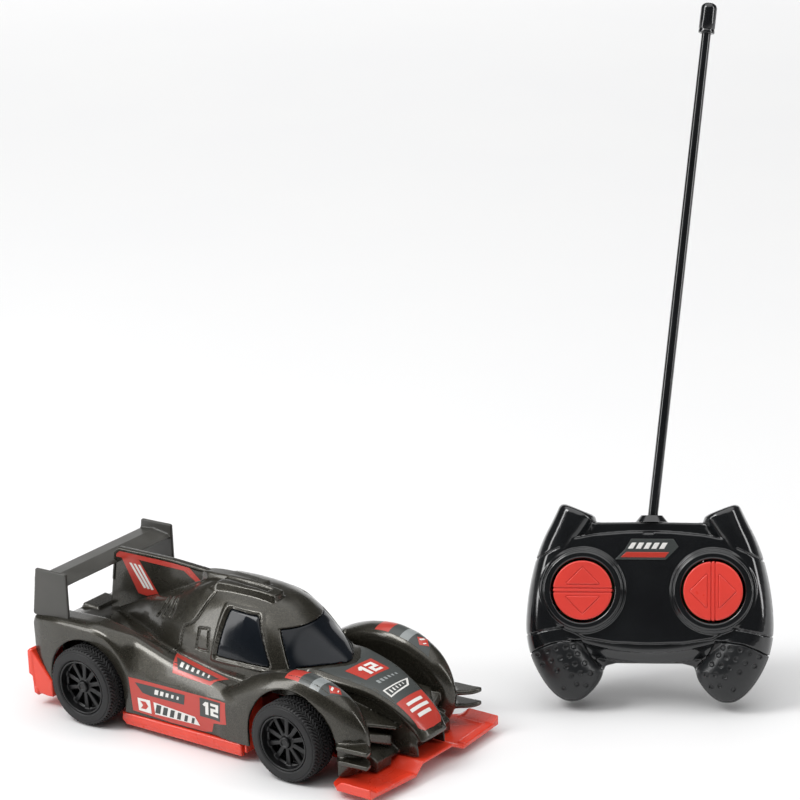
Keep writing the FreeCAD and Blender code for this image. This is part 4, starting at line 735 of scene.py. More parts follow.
def hand_solid(g):
    """The outer form of the handset: plate, bezels, horns that run down into the grips."""
    x, y, z = np.abs(g.x), g.y, g.z
    low = curve(y, [(-58, -13), (-42, -19), (4, -19), (24, -16), (44, -10), (52, -9)])
    high = curve(y, [(-58, 5.5), (-44, 10.2), (-25, 12.6), (0, 12.6), (25, 11.6), (44, 10.0), (52, 9.6)])
    reach = curve(y, [(-58, 17), (-38, 17), (-18, 15), (0, 13), (20, 10.6), (44, 8.8), (52, 8.8)])
    across = np.maximum(polygon(x, y, TUBE) + reach, 0) / reach
    upright = np.abs(z - (high + low) / 2) / ((high - low) / 2)
    tube = ((across ** 2.3 + upright ** 2.3) ** (1 / 2.3) - 1) * reach * 0.8
    tube = smax(tube, 0.927 * y - 0.375 * x - 25.1, 3.2)
    down = y - 0.0041 * x * x
    up = y + 0.0024 * x * x
    top = np.minimum(curve(down, [(-42, -5), (-38, -0.5), (-36.4, 2.2), (-32, 6.6), (-31.2, 8.4), (-28, 8.9),
                                  (0, 9.2)]),
                     curve(up, [(0, 9.2), (29.6, 9.2), (30.8, 4.6), (37, 4.4)]))
    core = smax(rounded_slab(polygon(x, y, CORE), z, BACK_Z, 12, 5.5), (z - top) * 0.85, 1.2)
    face = smax(polygon(x, y, PLATE), np.abs(z - 5.4) - 5.3 + 0.0004 * x * x, 1.0)
    face = carve(face, both(x - 2.6, 28.9 - y, 8.2 - z), 0.3)
    around = np.sqrt((x - ROCKER_X) ** 2 + y * y)
    flange = smax(around - 21.9, np.abs(z - 6) - 6.1, 0.9)
    ring = smax(np.abs(around - 18.3) - 2.0, np.abs(z - 7) - 7.0, 1.5)
    field = smin(smin(core, tube, 3.0), face, 0.5)
    return smin(smin(field, flange, 0.7), ring, 0.5)


def hand_details(field, g):
    """The parting grooves of the grips and their dimples."""
    x, y, z = np.abs(g.x), g.y, g.z
    cut_lines = either(*[line_gap(x, y, line) for line in (
        [(45.5, 22.0), (50, 20), (64, 13)], [(43.5, -18.9), (52, -20.6), (67, -24)], GRIP[:5])])
    field = recess(field, cut_lines - 0.34, 0.6, 0.25)
    pits = either(*[np.sqrt((x - px) ** 2 + (y - py) ** 2) - 1.15 for px, py in DIMPLES])
    return recess(field, np.maximum(pits, -z), 0.75, 0.35)


def rocker_axes(g, side):
    """Places along and across a rocker's pin: the throttle's lies across the handset, the other upright."""
    beside = g.x - side * ROCKER_X
    return (beside, g.y) if side < 0 else (g.y, beside)


hand_grid = Grid((-66.5, -59.5, -20), (66.5, 48, 15.2), HAND_STEP)
hx, hy, hz = np.abs(hand_grid.x), hand_grid.y, hand_grid.z
plain_hand = level(hand_solid(hand_grid), HAND_STEP, 0.5)
hand = carve(hand_details(plain_hand, hand_grid), plain_hand + HAND_WALL, 0.3)
opening = np.maximum(np.sqrt((hx - ROCKER_X) ** 2 + hy * hy) - 16.2, 0.5 - hz)
hand = carve(hand, opening, 0.4)
socket = np.maximum(np.sqrt((hand_grid.x - 1.0) ** 2 + (hz + 2) ** 2) - 3.4, 20.4 - hy)
hand = np.maximum(hand, -socket)
for post_x, post_y in CASE_SCREWS:
    ring = np.sqrt((hx - post_x) ** 2 + (hy - post_y) ** 2)
    column = np.maximum(ring - 3.0, plain_hand + 0.4)
    hand = np.minimum(hand, column)
    hand = np.maximum(hand, -np.minimum(np.maximum(ring - 1.3, hz), np.maximum(ring - 2.5, hz - BACK_Z - 4.0)))
    hand = np.maximum(hand, -np.maximum(ring - 1.06, hz - 8.0))
door_hole = both(hx - 27, np.abs(hy - 7) - 19, hz - BACK_Z - 3)
slot_hole = both(hx - 5.6, np.abs(hy + 26.5) - 2.5, hz - BACK_Z - 3)
hand = np.maximum(hand, -np.minimum(door_hole, slot_hole))
for side in (-1, 1):
    u, v = rocker_axes(hand_grid, side)
    bearing = both(np.abs(np.abs(u) - 16.9) - 1.3, np.abs(v) - 2.6, np.abs(hz - PIVOT_Z) - 3.4)
    pin_hole = np.sqrt(v * v + (hz - PIVOT_Z) ** 2) - 1.06
    hand = np.minimum(hand, np.maximum(bearing, -pin_hole))
grip_zone = polygon(hx, hy, GRIP)
front_half = np.maximum(hand, 0.12 - hz)
back_half = np.maximum(hand, hz + 0.12)
GRIP_SEAM = 0.06
upper = field_object("handset_front", np.maximum(front_half, -grip_zone), hand_grid, HAND)
lower = field_object("handset_back", np.maximum(back_half, -grip_zone), hand_grid, HAND)
upper_grips = field_object("grip_fronts", np.maximum(front_half, grip_zone + GRIP_SEAM), hand_grid, HAND)
lower_grips = field_object("grip_backs", np.maximum(back_half, grip_zone + GRIP_SEAM), hand_grid, HAND)
del hand, plain_hand, front_half, back_half, opening, socket


# ------------------------------------------------------------------ rocker buttons

def rocker_field(u, v, z):
    """A round button with two raised arrowheads and a double groove; it rocks about v = 0."""
    around = np.sqrt(u * u + v * v)
    top = 14.35 + 0.0022 * v * v - 0.0006 * u * u
    disc = smax(around - 15.2, np.maximum(z - top, 11.6 - z), 1.0)
    arrow = polygon(u, np.abs(v), [(-8.0, 3.4), (8.0, 3.4), (0.0, 11.4)]) - 0.7
    edge = np.maximum(np.abs(arrow + 0.1) - 0.28, -(disc + 0.35))
    field = smin(disc, np.maximum(arrow, np.maximum(disc - 0.32, 12 - z)), 0.35)
    field = carve(field, np.maximum(edge, arrow), 0.2)
    groove = np.maximum(np.abs(np.abs(v) - 1.05) - 0.3, -(disc + 0.6))
    field = carve(field, groove, 0.25)
    stem = both(np.abs(u) - 4, np.abs(v) - 4, PIVOT_Z - 2.4 - z, z - 12)
    wing = both(np.abs(u) - 2, np.abs(v) - 11.5, 8.8 - z, z - 12)
    pin = np.maximum(np.sqrt(v * v + (z - PIVOT_Z) ** 2) - 1.0, np.abs(u) - 17.4)
    return either(field, stem, wing, pin)


ROCKER_REACH = 17.8
rockers = {}
for rocker_name, side in (("throttle_rocker", -1), ("steering_rocker", 1)):
    rocker_grid = Grid((side * ROCKER_X - ROCKER_REACH, -ROCKER_REACH, 3.2),
                       (side * ROCKER_X + ROCKER_REACH, ROCKER_REACH, 15.4), 0.24)
    button = rocker_field(*rocker_axes(rocker_grid, side), rocker_grid.z)
    rockers[rocker_name] = field_object(rocker_name + "_button", button, rocker_grid, HAND)


# ------------------------------------------------------------------ aerial and badge

LATHE_SEGMENTS = 72


def lathe(name, profile, matrix):
    """A body turned about its own Z from (radius, height) points."""
    points, faces = [], []
    for i in range(LATHE_SEGMENTS):
        turn = 2 * math.pi * i / LATHE_SEGMENTS
        points += [(r * math.cos(turn), r * math.sin(turn), h) for r, h in profile]
    n = len(profile)
    for i in range(LATHE_SEGMENTS):
        j = (i + 1) % LATHE_SEGMENTS
        faces += [(i * n + k, j * n + k, j * n + k + 1, i * n + k + 1) for k in range(n - 1)]
    item = to_object(name, points, faces, matrix)
    tidy = bmesh.new()
    tidy.from_mesh(item.data)
    bmesh.ops.remove_doubles(tidy, verts=tidy.verts, dist=1e-7)
    bmesh.ops.recalc_face_normals(tidy, faces=tidy.faces)
    tidy.to_mesh(item.data)
    tidy.free()
    item.data.shade_smooth()
    return item


def arc(cr, ch, radius, start, stop, count):
    """Profile points on a quarter round, angles in degrees from the radial direction."""
    turns = [math.radians(start + (stop - start) * i / count) for i in range(count + 1)]
    return [(cr + radius * math.cos(t), ch + radius * math.sin(t)) for t in turns]


LEAN = math.radians(6.1)
WHIP = (HAND @ Matrix.Translation((1.0, 33.4, -2.0)) @ Matrix.Rotation(-LEAN, 4, "Z")
        @ Matrix.Rotation(-math.pi / 2, 4, "X"))
whip_profile = [(0, -3), (2.1, -3)] + arc(2.1, -2.5, 0.5, -90, 0, 4)
whip_profile += [(2.6, 40), (2.6, 120), (2.5, 200), (2.4, 255)]
whip_profile += arc(1.82, 268.3, 0.5, 0, 90, 4) + [(0, 268.8)]
whip = lathe("aerial_whip", whip_profile, WHIP)
cap_profile = [(0, 269.1), (2.45, 269.0), (2.45, 257.3), (2.6, 257.0)] + arc(3.7, 257.5, 0.5, -90, 0, 5)
cap_profile += [(4.2, 258.6), (4.02, 258.9), (4.02, 259.5), (4.2, 259.8), (4.2, 264.0)]
cap_profile += arc(1.2, 270.0, 3.0, 0, 90, 12) + [(0, 273.0)]
whip_cap = lathe("aerial_end_cap", cap_profile, WHIP)


# ------------------------------------------------------------------ stickers

def outermost(field, grid, axis):
    """Along one axis, the place where the body's outer face is met when coming from outside."""
    inside = field < 0
    count = field.shape[axis]
    flipped = np.flip(inside, axis)
    last = count - 1 - np.argmax(flipped, axis)
    last = np.clip(last, 0, count - 2)
    here = np.take_along_axis(field, np.expand_dims(last, axis), axis).squeeze(axis)
    beyond = np.take_along_axis(field, np.expand_dims(last + 1, axis), axis).squeeze(axis)
    part = np.clip(here / np.minimum(here - beyond, -1e-6), 0, 1)
    reach = grid.low[axis] + (last + part) * grid.step
    return np.where(inside.any(axis), reach, np.nan)


def lookup(table, u, w, low_u, low_w, step):
    """A value from a table of heights, between its samples."""
    a = np.clip((u - low_u) / step, 0, table.shape[0] - 1.001)
    b = np.clip((w - low_w) / step, 0, table.shape[1] - 1.001)
    i, j = a.astype(int), b.astype(int)
    a, b = a - i, b - j
    return ((table[i, j] * (1 - a) + table[i + 1, j] * a) * (1 - b)
            + (table[i, j + 1] * (1 - a) + table[i + 1, j + 1] * a) * b)


top_table = outermost(plain_skin, body_grid, 2)
side_table = outermost(plain_skin, body_grid, 1)


def top_height(x, ay):
    """The height of the body's upper side."""
    return lookup(top_table, x, ay, body_grid.low[0], 0.0, body_grid.step)


def on_top(side):
    """Points (x, y) laid on the upper side of the body: side 1 is left, -1 right, 0 both."""
    def lay(u, w, lift):
        height = top_height(u, np.abs(w))
        ahead = top_height(u + 1, np.abs(w)) - height
        aside = top_height(u, np.abs(w) + 1) - height
        scale = lift / np.sqrt(1 + ahead ** 2 + aside ** 2)
        y = w if side == 0 else side * np.abs(w)
        return np.c_[u - ahead * scale, y - np.sign(y) * aside * scale, height + scale]
    return lay


def on_flank(side):
    """Points (x, z) laid on the flank."""
    def lay(u, w, lift):
        reach = lookup(side_table, u, w, body_grid.low[0], body_grid.low[2], body_grid.step)
        return np.c_[u, side * (reach + lift), w]
    return lay


def on_fin(side):
    """Points (x, z) laid on the fin's flat side."""
    def lay(u, w, lift):
        return np.c_[u, np.full_like(u, side * (FIN_HALF + lift)), w]
    return lay


LAYER = 0.07
stickers = {}


def sticker(color, outline, lay, layer=1, pitch=1.6):
    """A flat printed shape, cut into small facets and laid onto the surface under it."""
    sheet = bmesh.new()
    face = sheet.faces.new([sheet.verts.new((u, w, 0)) for u, w in outline])
    area = sum(a[0] * b[1] - b[0] * a[1] for a, b in zip(outline, outline[1:] + outline[:1]))
    if face.normal.z < 0 or area < 0:
        face.normal_flip()
    for axis in (0, 1):
        low = min(p[axis] for p in outline)
        high = max(p[axis] for p in outline)
        normal = (1, 0, 0) if axis == 0 else (0, 1, 0)
        for k in range(int(math.ceil(low / pitch)), int(math.ceil(high / pitch))):
            at = [0, 0, 0]
            at[axis] = k * pitch
            everything = sheet.verts[:] + sheet.edges[:] + sheet.faces[:]
            bmesh.ops.bisect_plane(sheet, geom=everything, plane_co=at, plane_no=normal, dist=1e-5)
    bmesh.ops.triangulate(sheet, faces=[f for f in sheet.faces if len(f.verts) > 4])
    sheet.verts.index_update()
    flat = np.array([v.co[:2] for v in sheet.verts])
    points = lay(flat[:, 0], flat[:, 1], LAYER * layer)
    faces = []
    for f in sheet.faces:
        ring = [v.index for v in f.verts]
        faces += [ring] if len(ring) == 3 else [[ring[0], ring[1], ring[2]], [ring[0], ring[2], ring[3]]]
    sheet.free()
    stock = stickers.setdefault(color, ([], []))
    start = sum(len(p) for p in stock[0])
    stock[0].append(points)
    stock[1].append(np.array(faces) + start)


ONE = [(0.1, 1.2), (0.42, 1.6), (0.8, 1.6), (0.8, 0), (0.42, 0), (0.42, 1.1), (0.28, 0.98)]
TWO = [(0, 1.6), (1, 1.6), (1, 0.62), (0.36, 0.62), (0.36, 0.34), (1, 0.34), (1, 0), (0, 0), (0, 0.96),
       (0.64, 0.96), (0.64, 1.26), (0, 1.26)]


def number(color, at, across, up, lay, layer):
    """The racing number 12, with the given place and directions."""
    for digit, start in ((ONE, 0.0), (TWO, 1.05)):
        outline = [tuple(at[k] + (start + a) * across[k] + b * up[k] for k in (0, 1)) for a, b in digit]
        sticker(color, outline, lay, layer, 1.2)


def bars(color, start, end, count, width, tall, lean, lay, layer):
    """A row of slanted bars that get thinner, in place of lettering."""
    for i in range(count):
        share = i / max(count - 1, 1)
        u = start[0] + (end[0] - start[0]) * share
        w = start[1] + (end[1] - start[1]) * share
        half = width * (1 - 0.45 * share) / 2
        high = tall * (1 - 0.35 * share) / 2
        sticker(color, [(u - half - lean * high, w - high), (u + half - lean * high, w - high),
                        (u + half + lean * high, w + high), (u - half + lean * high, w + high)], lay, layer)


for side in (-1, 1):
    lay = on_flank(side)
    sticker("red", [(-40, 30.4), (-8, 30.1), (23.8, 30.1), (24, 18.3), (14.8, 16.6), (13.4, 11.6), (8, 10.6),
                    (-14, 10.6), (-38.6, 12.0)], lay, 1)
    sticker("dark", [(-36, 28.4), (-31.4, 23.4), (-26, 22.6), (-4.2, 22.6), (-3.2, 28.2), (-26, 28.4)], lay, 2)
    bars("white", (-22, 25.6), (-8, 25.5), 5, 2.4, 2.8, 0.3, lay, 3)
    sticker("white", [(-35, 20.0), (-26.8, 20.0), (-26.4, 12.6), (-34.6, 13.0)], lay, 2)
    sticker("red", [(-33.4, 18.6), (-29.8, 18.6), (-28.2, 16.4), (-29.8, 14.4), (-33.2, 14.4), (-31.6, 16.4)],
            lay, 3)
    sticker("white", [(-24.6, 19.6), (2.6, 17.4), (5.6, 13.2), (-24.0, 12.9)], lay, 2)
    bars("dark", (-21.6, 16.2), (1.2, 15.0), 6, 3.2, 4.9, 0.28, lay, 3)
    sticker("dark", [(6.6, 29.2), (20.4, 29.2), (19.8, 18.8), (6.0, 18.8)], lay, 2)
    number("white", (7.6 if side < 0 else 19.0, 20.6), (-5.4 * side, 0), (-0.25 * side, 4.4), lay, 3)

    lay = on_top(side)
    sticker("red", [(-21, 28.6), (17, 33.2), (11.6, 41.6), (-13.2, 41.9)], lay, 1)
    sticker("dark", [(-17.4, 33.0), (13.4, 36.4), (10.2, 40.0), (-11, 40.2)], lay, 2)
    bars("white", (-10.6, 37.0), (7.4, 37.6), 6, 2.0, 3.8, 0.5, lay, 3)
    sticker("red", [(61.5, 31.2), (70.4, 31.2), (70.4, 42.8), (61.5, 42.4)], lay, 1)
    sticker("dark", [(70.4, 31.2), (77.4, 31.2), (77.4, 43.0), (70.4, 42.8)], lay, 1)
    sticker("grey", [(77.4, 31.2), (82.8, 31.2), (82.8, 42.8), (77.4, 43.0)], lay, 1)
    sticker("dark", [(82.8, 31.2), (95.4, 31.4), (91.4, 39.0), (86.4, 42.6), (82.8, 42.8)], lay, 1)
    sticker("red", [(84.6, 36.6), (88.6, 33.0), (92.2, 36.2), (88.2, 40.2)], lay, 2)
    bars("white", (87.2, 37.2), (89.8, 35.8), 2, 1.2, 2.6, 0.4, lay, 3)

    lay = on_fin(side)
    sticker("red", [(-83.6, 75.8), (-79.6, 77.2), (-40.7, 77.4), (-32.8, 77.0), (-25.8, 71.4), (-29.1, 70.0),
                    (-36.8, 74.6), (-63.2, 74.5), (-67.5, 74.5), (-79.4, 73.4), (-83.7, 73.2)], lay, 1, 8.0)
    sticker("red", [(-79.6, 73.5), (-67.6, 74.6), (-55.4, 58.0), (-63.4, 55.0), (-69.4, 55.4)], lay, 1, 8.0)
    for shift in (0.0, 3.0, 6.0):
        sticker("white", [(-74.4 + shift, 71.6), (-72.8 + shift, 71.8), (-63.6 + shift * 0.86, 59.6),
                          (-65.2 + shift * 0.86, 59.0)], lay, 2, 8.0)

lay = on_top(0)
half_widths = [(62.4, 18.4), (68, 18.4), (74, 17.8), (80, 16.8), (86, 15.8), (92, 14.4),
               (98, 13.2), (104, 12.1), (110, 11.0), (116, 10.2), (119.6, 9.2)]
back_edge = [(66.4, 13), (71.5, 6), (73.3, 0), (71.5, -6), (66.4, -13)]
rim_right = [(x, -half + 0.8) for x, half in half_widths]
rim_left = [(x, half - 0.8) for x, half in reversed(half_widths)]
sticker("dark", rim_right + rim_left + back_edge, lay, 1)
sticker("red", [(74.4, -10.6), (87.0, -9.8), (88.0, 8.4), (75.4, 9.4)], lay, 2)
number("white", (85.4, -6.4), (0.3, 6.0), (-5.2, 0.2), lay, 3)
bars("grey", (92.0, -6.0), (92.6, 7.6), 6, 2.4, 1.8, 0.2, lay, 2)
sticker("white", [(97.2, -9.8), (102.4, -9.6), (101.6, 6.2), (97.6, 10.4)], lay, 2)
sticker("dark", [(98.0, -8.8), (101.6, -8.6), (100.8, 5.4), (98.2, 8.0)], lay, 3)
bars("white", (99.8, -6.4), (99.4, 4.0), 5, 2.2, 1.0, 0.2, lay, 4)
sticker("red", [(106.0, -10.4), (118.4, -9.1), (120.4, -6.6), (120.9, 0), (120.4, 6.6), (118.4, 9.1),
                (106.0, 10.4)], lay, 2)
for row, half in ((108.6, 6.0), (111.6, 7.0), (114.6, 5.0)):
    sticker("white", [(row, -half), (row + 1.5, -half), (row + 1.5, half), (row, half)], lay, 3)

sticker_sheets = {}
for color, (points, faces) in stickers.items():
    sticker_sheets[color] = to_object("stickers_" + color, np.concatenate(points), np.concatenate(faces), CAR,
                                      False)


def badge_bar(name, outline, low, high, split=False):
    """A small raised bar on the handset's face, or a row of slanted ones."""
    us, ws = zip(*outline)
    g = Grid((min(us) - 0.6, min(ws) - 0.6, low - 0.5), (max(us) + 0.6, max(ws) + 0.6, high + 0.5), 0.16)
    field = smax(polygon(g.x, g.y, outline), np.maximum(g.z - high, low - g.z), 0.25)
    if split:
        field = np.maximum(field, (np.abs((g.x - 0.6 * g.y) % 4.0 - 2.0) - 1.3) * 0.8)
    return field_object(name, field, g, HAND)


badge_plate = badge_bar("face_badge_plate", [(-17, 15.9), (9, 15.9), (15.6, 22.6), (13, 26.6), (-8.6, 26.6),
                                             (-12, 21)], 10.2, 11.05)
badge_red = badge_bar("face_badge_red_bar", [(-14.2, 17.0), (8.6, 17.0), (10.8, 19.8), (-11.2, 19.8)],
                      10.8, 11.3)
badge_white = badge_bar("face_badge_white_bars", [(-10.6, 21.4), (9.6, 21.4), (11.4, 24.6), (-8.2, 24.6)],
                        10.8, 11.25, split=True)


# ------------------------------------------------------------------ materials

def material(name, color, rough, metallic=0.0, coat=0.0, coat_rough=0.05, specular=0.5):
    """A Principled material; returns it with its tree, its shader and its object coordinates."""
    made = bpy.data.materials.new(name)
    made.use_nodes = True
    tree = made.node_tree
    shader = tree.nodes["Principled BSDF"]
    shader.inputs["Base Color"].default_value = (*color, 1)
    shader.inputs["Roughness"].default_value = rough
    shader.inputs["Metallic"].default_value = metallic
    shader.inputs["Coat Weight"].default_value = coat
    shader.inputs["Coat Roughness"].default_value = coat_rough
    shader.inputs["Specular IOR Level"].default_value = specular
    where = tree.nodes.new("ShaderNodeTexCoord").outputs["Object"]
    return made, tree, shader, where


def noise(tree, where, scale, detail=2.0):
    """A noise texture over the object's coordinates, in patches of about 1/scale metres."""
    node = tree.nodes.new("ShaderNodeTexNoise")
    node.inputs["Scale"].default_value = scale
    node.inputs["Detail"].default_value = detail
    tree.links.new(where, node.inputs["Vector"])
    return node.outputs["Fac"]


def spread(tree, value, low, high, to_low, to_high):
    """A value mapped from one range to another."""
    node = tree.nodes.new("ShaderNodeMapRange")
    for socket, number in zip(("From Min", "From Max", "To Min", "To Max"), (low, high, to_low, to_high)):
        node.inputs[socket].default_value = number
    tree.links.new(value, node.inputs["Value"])
    return node.outputs["Result"]


def mottle(tree, shader, value, low, high, color, other):
    """The base colour drifts between two close shades."""
    node = tree.nodes.new("ShaderNodeMix")
    node.data_type = "RGBA"
    node.inputs["A"].default_value = (*color, 1)
    node.inputs["B"].default_value = (*other, 1)
    tree.links.new(spread(tree, value, low, high, 0, 1), node.inputs["Factor"])
    tree.links.new(node.outputs["Result"], shader.inputs["Base Color"])


def dents(tree, shader, value, strength, depth):
    """A fine relief on the surface, its depth in metres."""
    node = tree.nodes.new("ShaderNodeBump")
    node.inputs["Strength"].default_value = strength
    node.inputs["Distance"].default_value = depth
    tree.links.new(value, node.inputs["Height"])
    tree.links.new(node.outputs["Normal"], shader.inputs["Normal"])


def moulded(name, color, other, rough, change=0.06, grain=2600.0, relief=0.00002, **finish):
    """Moulded plastic: two close shades, a little change in gloss and a fine moulding grain."""
    made, tree, shader, where = material(name, color, rough, **finish)
    cloud = noise(tree, where, 45.0, 3.0)
    mottle(tree, shader, cloud, 0.35, 0.65, color, other)
    tree.links.new(spread(tree, cloud, 0.3, 0.7, rough - change, rough + change), shader.inputs["Roughness"])
    dents(tree, shader, noise(tree, where, grain), 0.25, relief)
    return made


def metallic_paint(name, color, other, rough):
    """Plastic moulded in a metallic shade: tiny flakes lighten it point by point."""
    made, tree, shader, where = material(name, color, rough, 0.55, coat=0.5, coat_rough=0.10)
    speck = tree.nodes.new("ShaderNodeTexVoronoi")
    speck.inputs["Scale"].default_value = 5200.0
    tree.links.new(where, speck.inputs["Vector"])
    grey = tree.nodes.new("ShaderNodeRGBToBW")
    tree.links.new(speck.outputs["Color"], grey.inputs["Color"])
    mottle(tree, shader, grey.outputs["Val"], 0.45, 0.95, color, other)
    cloud = noise(tree, where, 60.0, 3.0)
    tree.links.new(spread(tree, cloud, 0.3, 0.7, rough - 0.05, rough + 0.06), shader.inputs["Roughness"])
    dents(tree, shader, noise(tree, where, 180.0), 0.12, 0.00006)
    return made


FINISHES = {
    "body_paint": metallic_paint("body_bronze", (0.024, 0.022, 0.016), (0.085, 0.078, 0.060), 0.27),
    "wing_plastic": moulded("satin_dark_grey", (0.042, 0.041, 0.036), (0.056, 0.054, 0.048), 0.36),
    "chassis_red": moulded("red_plastic", (0.76, 0.048, 0.020), (0.70, 0.040, 0.016), 0.24, coat=0.25),
    "window_black": moulded("window_black_gloss", (0.006, 0.008, 0.011), (0.010, 0.012, 0.016), 0.09, 0.03,
                            relief=0.000004, specular=0.22, coat=0.12),
    "tyre_rubber": moulded("tyre_rubber", (0.012, 0.012, 0.0125), (0.019, 0.019, 0.0195), 0.55, grain=1800.0,
                           relief=0.00006, specular=0.35),
    "rim_black": moulded("rim_black_satin", (0.005, 0.005, 0.0055), (0.008, 0.008, 0.0085), 0.32,
                         specular=0.4),
    "frame_black": moulded("black_plastic", (0.016, 0.016, 0.017), (0.022, 0.022, 0.023), 0.45),
    "gear_white": moulded("white_nylon", (0.72, 0.70, 0.64), (0.66, 0.64, 0.58), 0.45),
    "steel": moulded("steel", (0.56, 0.56, 0.55), (0.48, 0.48, 0.48), 0.30, 0.1, metallic=0.95),
    "sintered_bronze": moulded("sintered_bronze", (0.45, 0.28, 0.12), (0.38, 0.23, 0.10), 0.42, 0.1,
                               metallic=0.9),
    "circuit_board": moulded("circuit_board_green", (0.02, 0.16, 0.06), (0.03, 0.20, 0.08), 0.38),
    "cell_jacket": moulded("cell_jacket", (0.10, 0.10, 0.11), (0.16, 0.15, 0.13), 0.32, coat=0.4),
    "handset_black": moulded("handset_gloss_black", (0.0045, 0.005, 0.006), (0.007, 0.008, 0.009), 0.14, 0.04,
                             relief=0.000008, coat=0.5),
    "button_red": moulded("button_red_satin", (0.76, 0.058, 0.042), (0.70, 0.050, 0.036), 0.33, coat=0.1),
    "dome_rubber": moulded("dome_rubber_grey", (0.30, 0.30, 0.31), (0.36, 0.36, 0.37), 0.6),
}
FINISHES["badge"] = FINISHES["button_red"]
PRINTS = {
    "red": moulded("sticker_red", (0.50, 0.045, 0.030), (0.46, 0.038, 0.025), 0.30, 0.04, coat=0.2),
    "dark": moulded("sticker_dark_grey", (0.042, 0.048, 0.046), (0.052, 0.058, 0.056), 0.36, 0.04),
    "grey": moulded("sticker_light_grey", (0.24, 0.26, 0.26), (0.28, 0.30, 0.30), 0.36, 0.04),
    "white": moulded("sticker_white", (0.80, 0.79, 0.76), (0.74, 0.73, 0.70), 0.34, 0.04),
}
grip_matte = moulded("grip_soft_black", (0.008, 0.009, 0.010), (0.012, 0.013, 0.014), 0.33, grain=1500.0,
                     relief=0.00005)


def dress(item, finish):
    """Give a piece one material."""
    item.data.materials.clear()
    item.data.materials.append(finish)


def piece(item, body_name, slot_name, nodes=(), finish=None):
    """Finish a new piece: its material, the CAD body it rides on and the CAD nodes it stands for."""
    dress(item, finish or FINISHES[slot_name])
    if nodes:
        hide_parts(*nodes)
    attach(item, body_name)


slot_of = {row["node"]: row["material_slot"] for row in frame["record"]["subparts"]}
for node_name, node in frame["nodes"].items():
    dress(node, FINISHES[slot_of[node_name]])
    ease = node.modifiers.new("edges", "BEVEL")
    ease.width, ease.segments = 0.00025, 2
    ease.limit_method, ease.angle_limit = "ANGLE", math.radians(40)

piece(body, "car", "body_paint", ["body_shell"])
piece(screen, "car", "window_black", ["windscreen"])
piece(side_windows, "car", "window_black", ["side_window_left", "side_window_right"])
piece(tray, "car", "chassis_red", ["chassis"])
piece(fin, "car", "body_paint", ["dorsal_fin"])
piece(wing, "car", "wing_plastic", ["rear_wing"])
for color, sheet in sticker_sheets.items():
    piece(sheet, "car", "badge", finish=PRINTS[color])
for corner, (tread, spokes) in wheels.items():
    body_name = "rear_wheels" if corner.startswith("rear") else "wheel_" + corner
    piece(tread, body_name, "tyre_rubber", ["tyre_" + corner])
    piece(spokes, body_name, "rim_black", ["rim_" + corner])

piece(upper, "handset", "handset_black", ["handset_upper_shell"])
piece(lower, "handset", "handset_black", ["handset_lower_shell"])
for grips in (upper_grips, lower_grips):
    piece(grips, "handset", "handset_black", finish=grip_matte)
for rocker_name, rocker in rockers.items():
    piece(rocker, rocker_name, "button_red", [rocker_name])
piece(whip, "aerial", "handset_black", ["aerial"])
piece(whip_cap, "aerial", "handset_black", ["aerial_cap"])
piece(badge_plate, "handset", "badge", ["face_badge"], PRINTS["dark"])
piece(badge_red, "handset", "badge", finish=PRINTS["red"])
piece(badge_white, "handset", "badge", finish=PRINTS["white"])


# ------------------------------------------------------------------ floor, lights and camera

FLOOR_HALF, FLOOR_Z = 15.0, -0.0004
floor_points = [(x * FLOOR_HALF, y * FLOOR_HALF, FLOOR_Z) for x, y in ((-1, -1), (1, -1), (1, 1), (-1, 1))]
floor = to_object("floor", floor_points, [(0, 1, 2, 3)], Matrix.Identity(4), smooth=False)
FLOOR_WHITE = (0.86, 0.86, 0.86)
floor_finish, floor_tree, floor_shader, floor_where = material("floor_white", FLOOR_WHITE, 0.6)
floor_cloud = noise(floor_tree, floor_where, 6.0)
mottle(floor_tree, floor_shader, floor_cloud, 0.3, 0.7, FLOOR_WHITE, (0.85, 0.85, 0.855))
dress(floor, floor_finish)

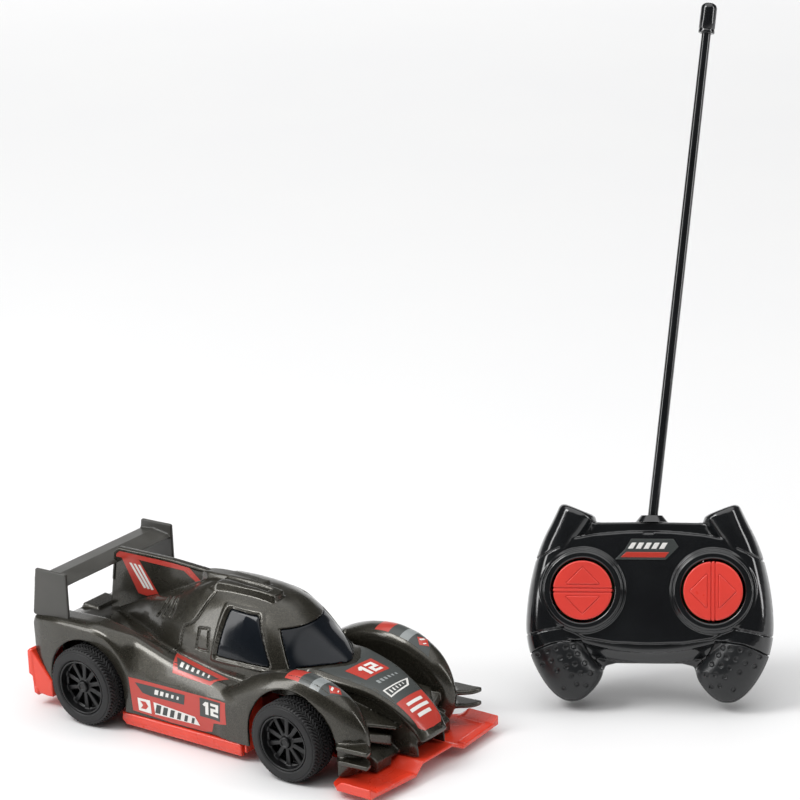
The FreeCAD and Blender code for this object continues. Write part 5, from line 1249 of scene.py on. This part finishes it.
world = bpy.data.worlds.new("studio")
world.use_nodes = True
sky = world.node_tree.nodes
split = sky.new("ShaderNodeSeparateXYZ")
shade = sky.new("ShaderNodeValToRGB")
shade.color_ramp.interpolation = "EASE"
steps = [(0.0, 0.2), (0.50, 0.2), (0.53, 0.14), (0.60, 0.05), (0.82, 0.05), (0.92, 1.0), (1.0, 1.0)]
for at, value in steps[1:-1]:
    shade.color_ramp.elements.new(at)
for element, (at, value) in zip(shade.color_ramp.elements, steps):
    element.position = at
    element.color = (value, value, value, 1)
lift = sky.new("ShaderNodeMapRange")
lift.inputs["From Min"].default_value = -1.0
world.node_tree.links.new(sky.new("ShaderNodeTexCoord").outputs["Generated"], split.inputs["Vector"])
world.node_tree.links.new(split.outputs["Z"], lift.inputs["Value"])
world.node_tree.links.new(lift.outputs["Result"], shade.inputs["Fac"])
world.node_tree.links.new(shade.outputs["Color"], sky["Background"].inputs["Color"])
sky["Background"].inputs["Strength"].default_value = 1.6
bpy.context.scene.world = world


def softbox(name, at, towards, width, height, watts):
    """A rectangular area light."""
    data = bpy.data.lights.new(name, "AREA")
    data.shape = "RECTANGLE"
    data.size, data.size_y = width, height
    data.energy = watts
    lamp = bpy.data.objects.new(name, data)
    bpy.context.scene.collection.objects.link(lamp)
    lamp.location = at
    lamp.rotation_euler = (Vector(towards) - Vector(at)).to_track_quat("-Z", "Y").to_euler()
    lamp.visible_camera = False


softbox("key", (-0.7, -1.0, 1.6), (0.0, 0.0, 0.05), 0.7, 0.7, 15)
softbox("left_strip", (-1.0, -1.15, 0.7), (0.1, 0.0, 0.15), 0.34, 1.3, 9)
softbox("right_strip", (1.45, 0.6, 0.75), (0.0, 0.0, 0.15), 0.3, 1.2, 7)
softbox("back_card", (-1.3, 1.6, 0.42), (0.0, 0.0, 0.1), 2.6, 0.75, 5)

EYE = CAR_ORIGIN + Vector((1158.0, -1352.3, 776.5)) * MM
AIM = CAR_ORIGIN + Vector((110.0, -1.8, 193.6)) * MM
ROLL = math.radians(-2.5)
forward = (AIM - EYE).normalized()
level_right = forward.cross(Vector((0, 0, 1))).normalized()
level_up = level_right.cross(forward)
cam_right = level_right * math.cos(ROLL) + level_up * math.sin(ROLL)
cam_up = level_up * math.cos(ROLL) - level_right * math.sin(ROLL)
camera_data = bpy.data.cameras.new("camera")
camera_data.lens = 167.56
camera_data.sensor_width = 36.0
camera_data.clip_start, camera_data.clip_end = 0.05, 60
camera = bpy.data.objects.new("camera", camera_data)
bpy.context.scene.collection.objects.link(camera)
camera.matrix_world = Matrix((
    (cam_right.x, cam_up.x, -forward.x, EYE.x),
    (cam_right.y, cam_up.y, -forward.y, EYE.y),
    (cam_right.z, cam_up.z, -forward.z, EYE.z),
    (0, 0, 0, 1),
))
scene = bpy.context.scene
scene.camera = camera
scene.view_settings.view_transform = "Standard"
scene.view_settings.exposure = 0.0
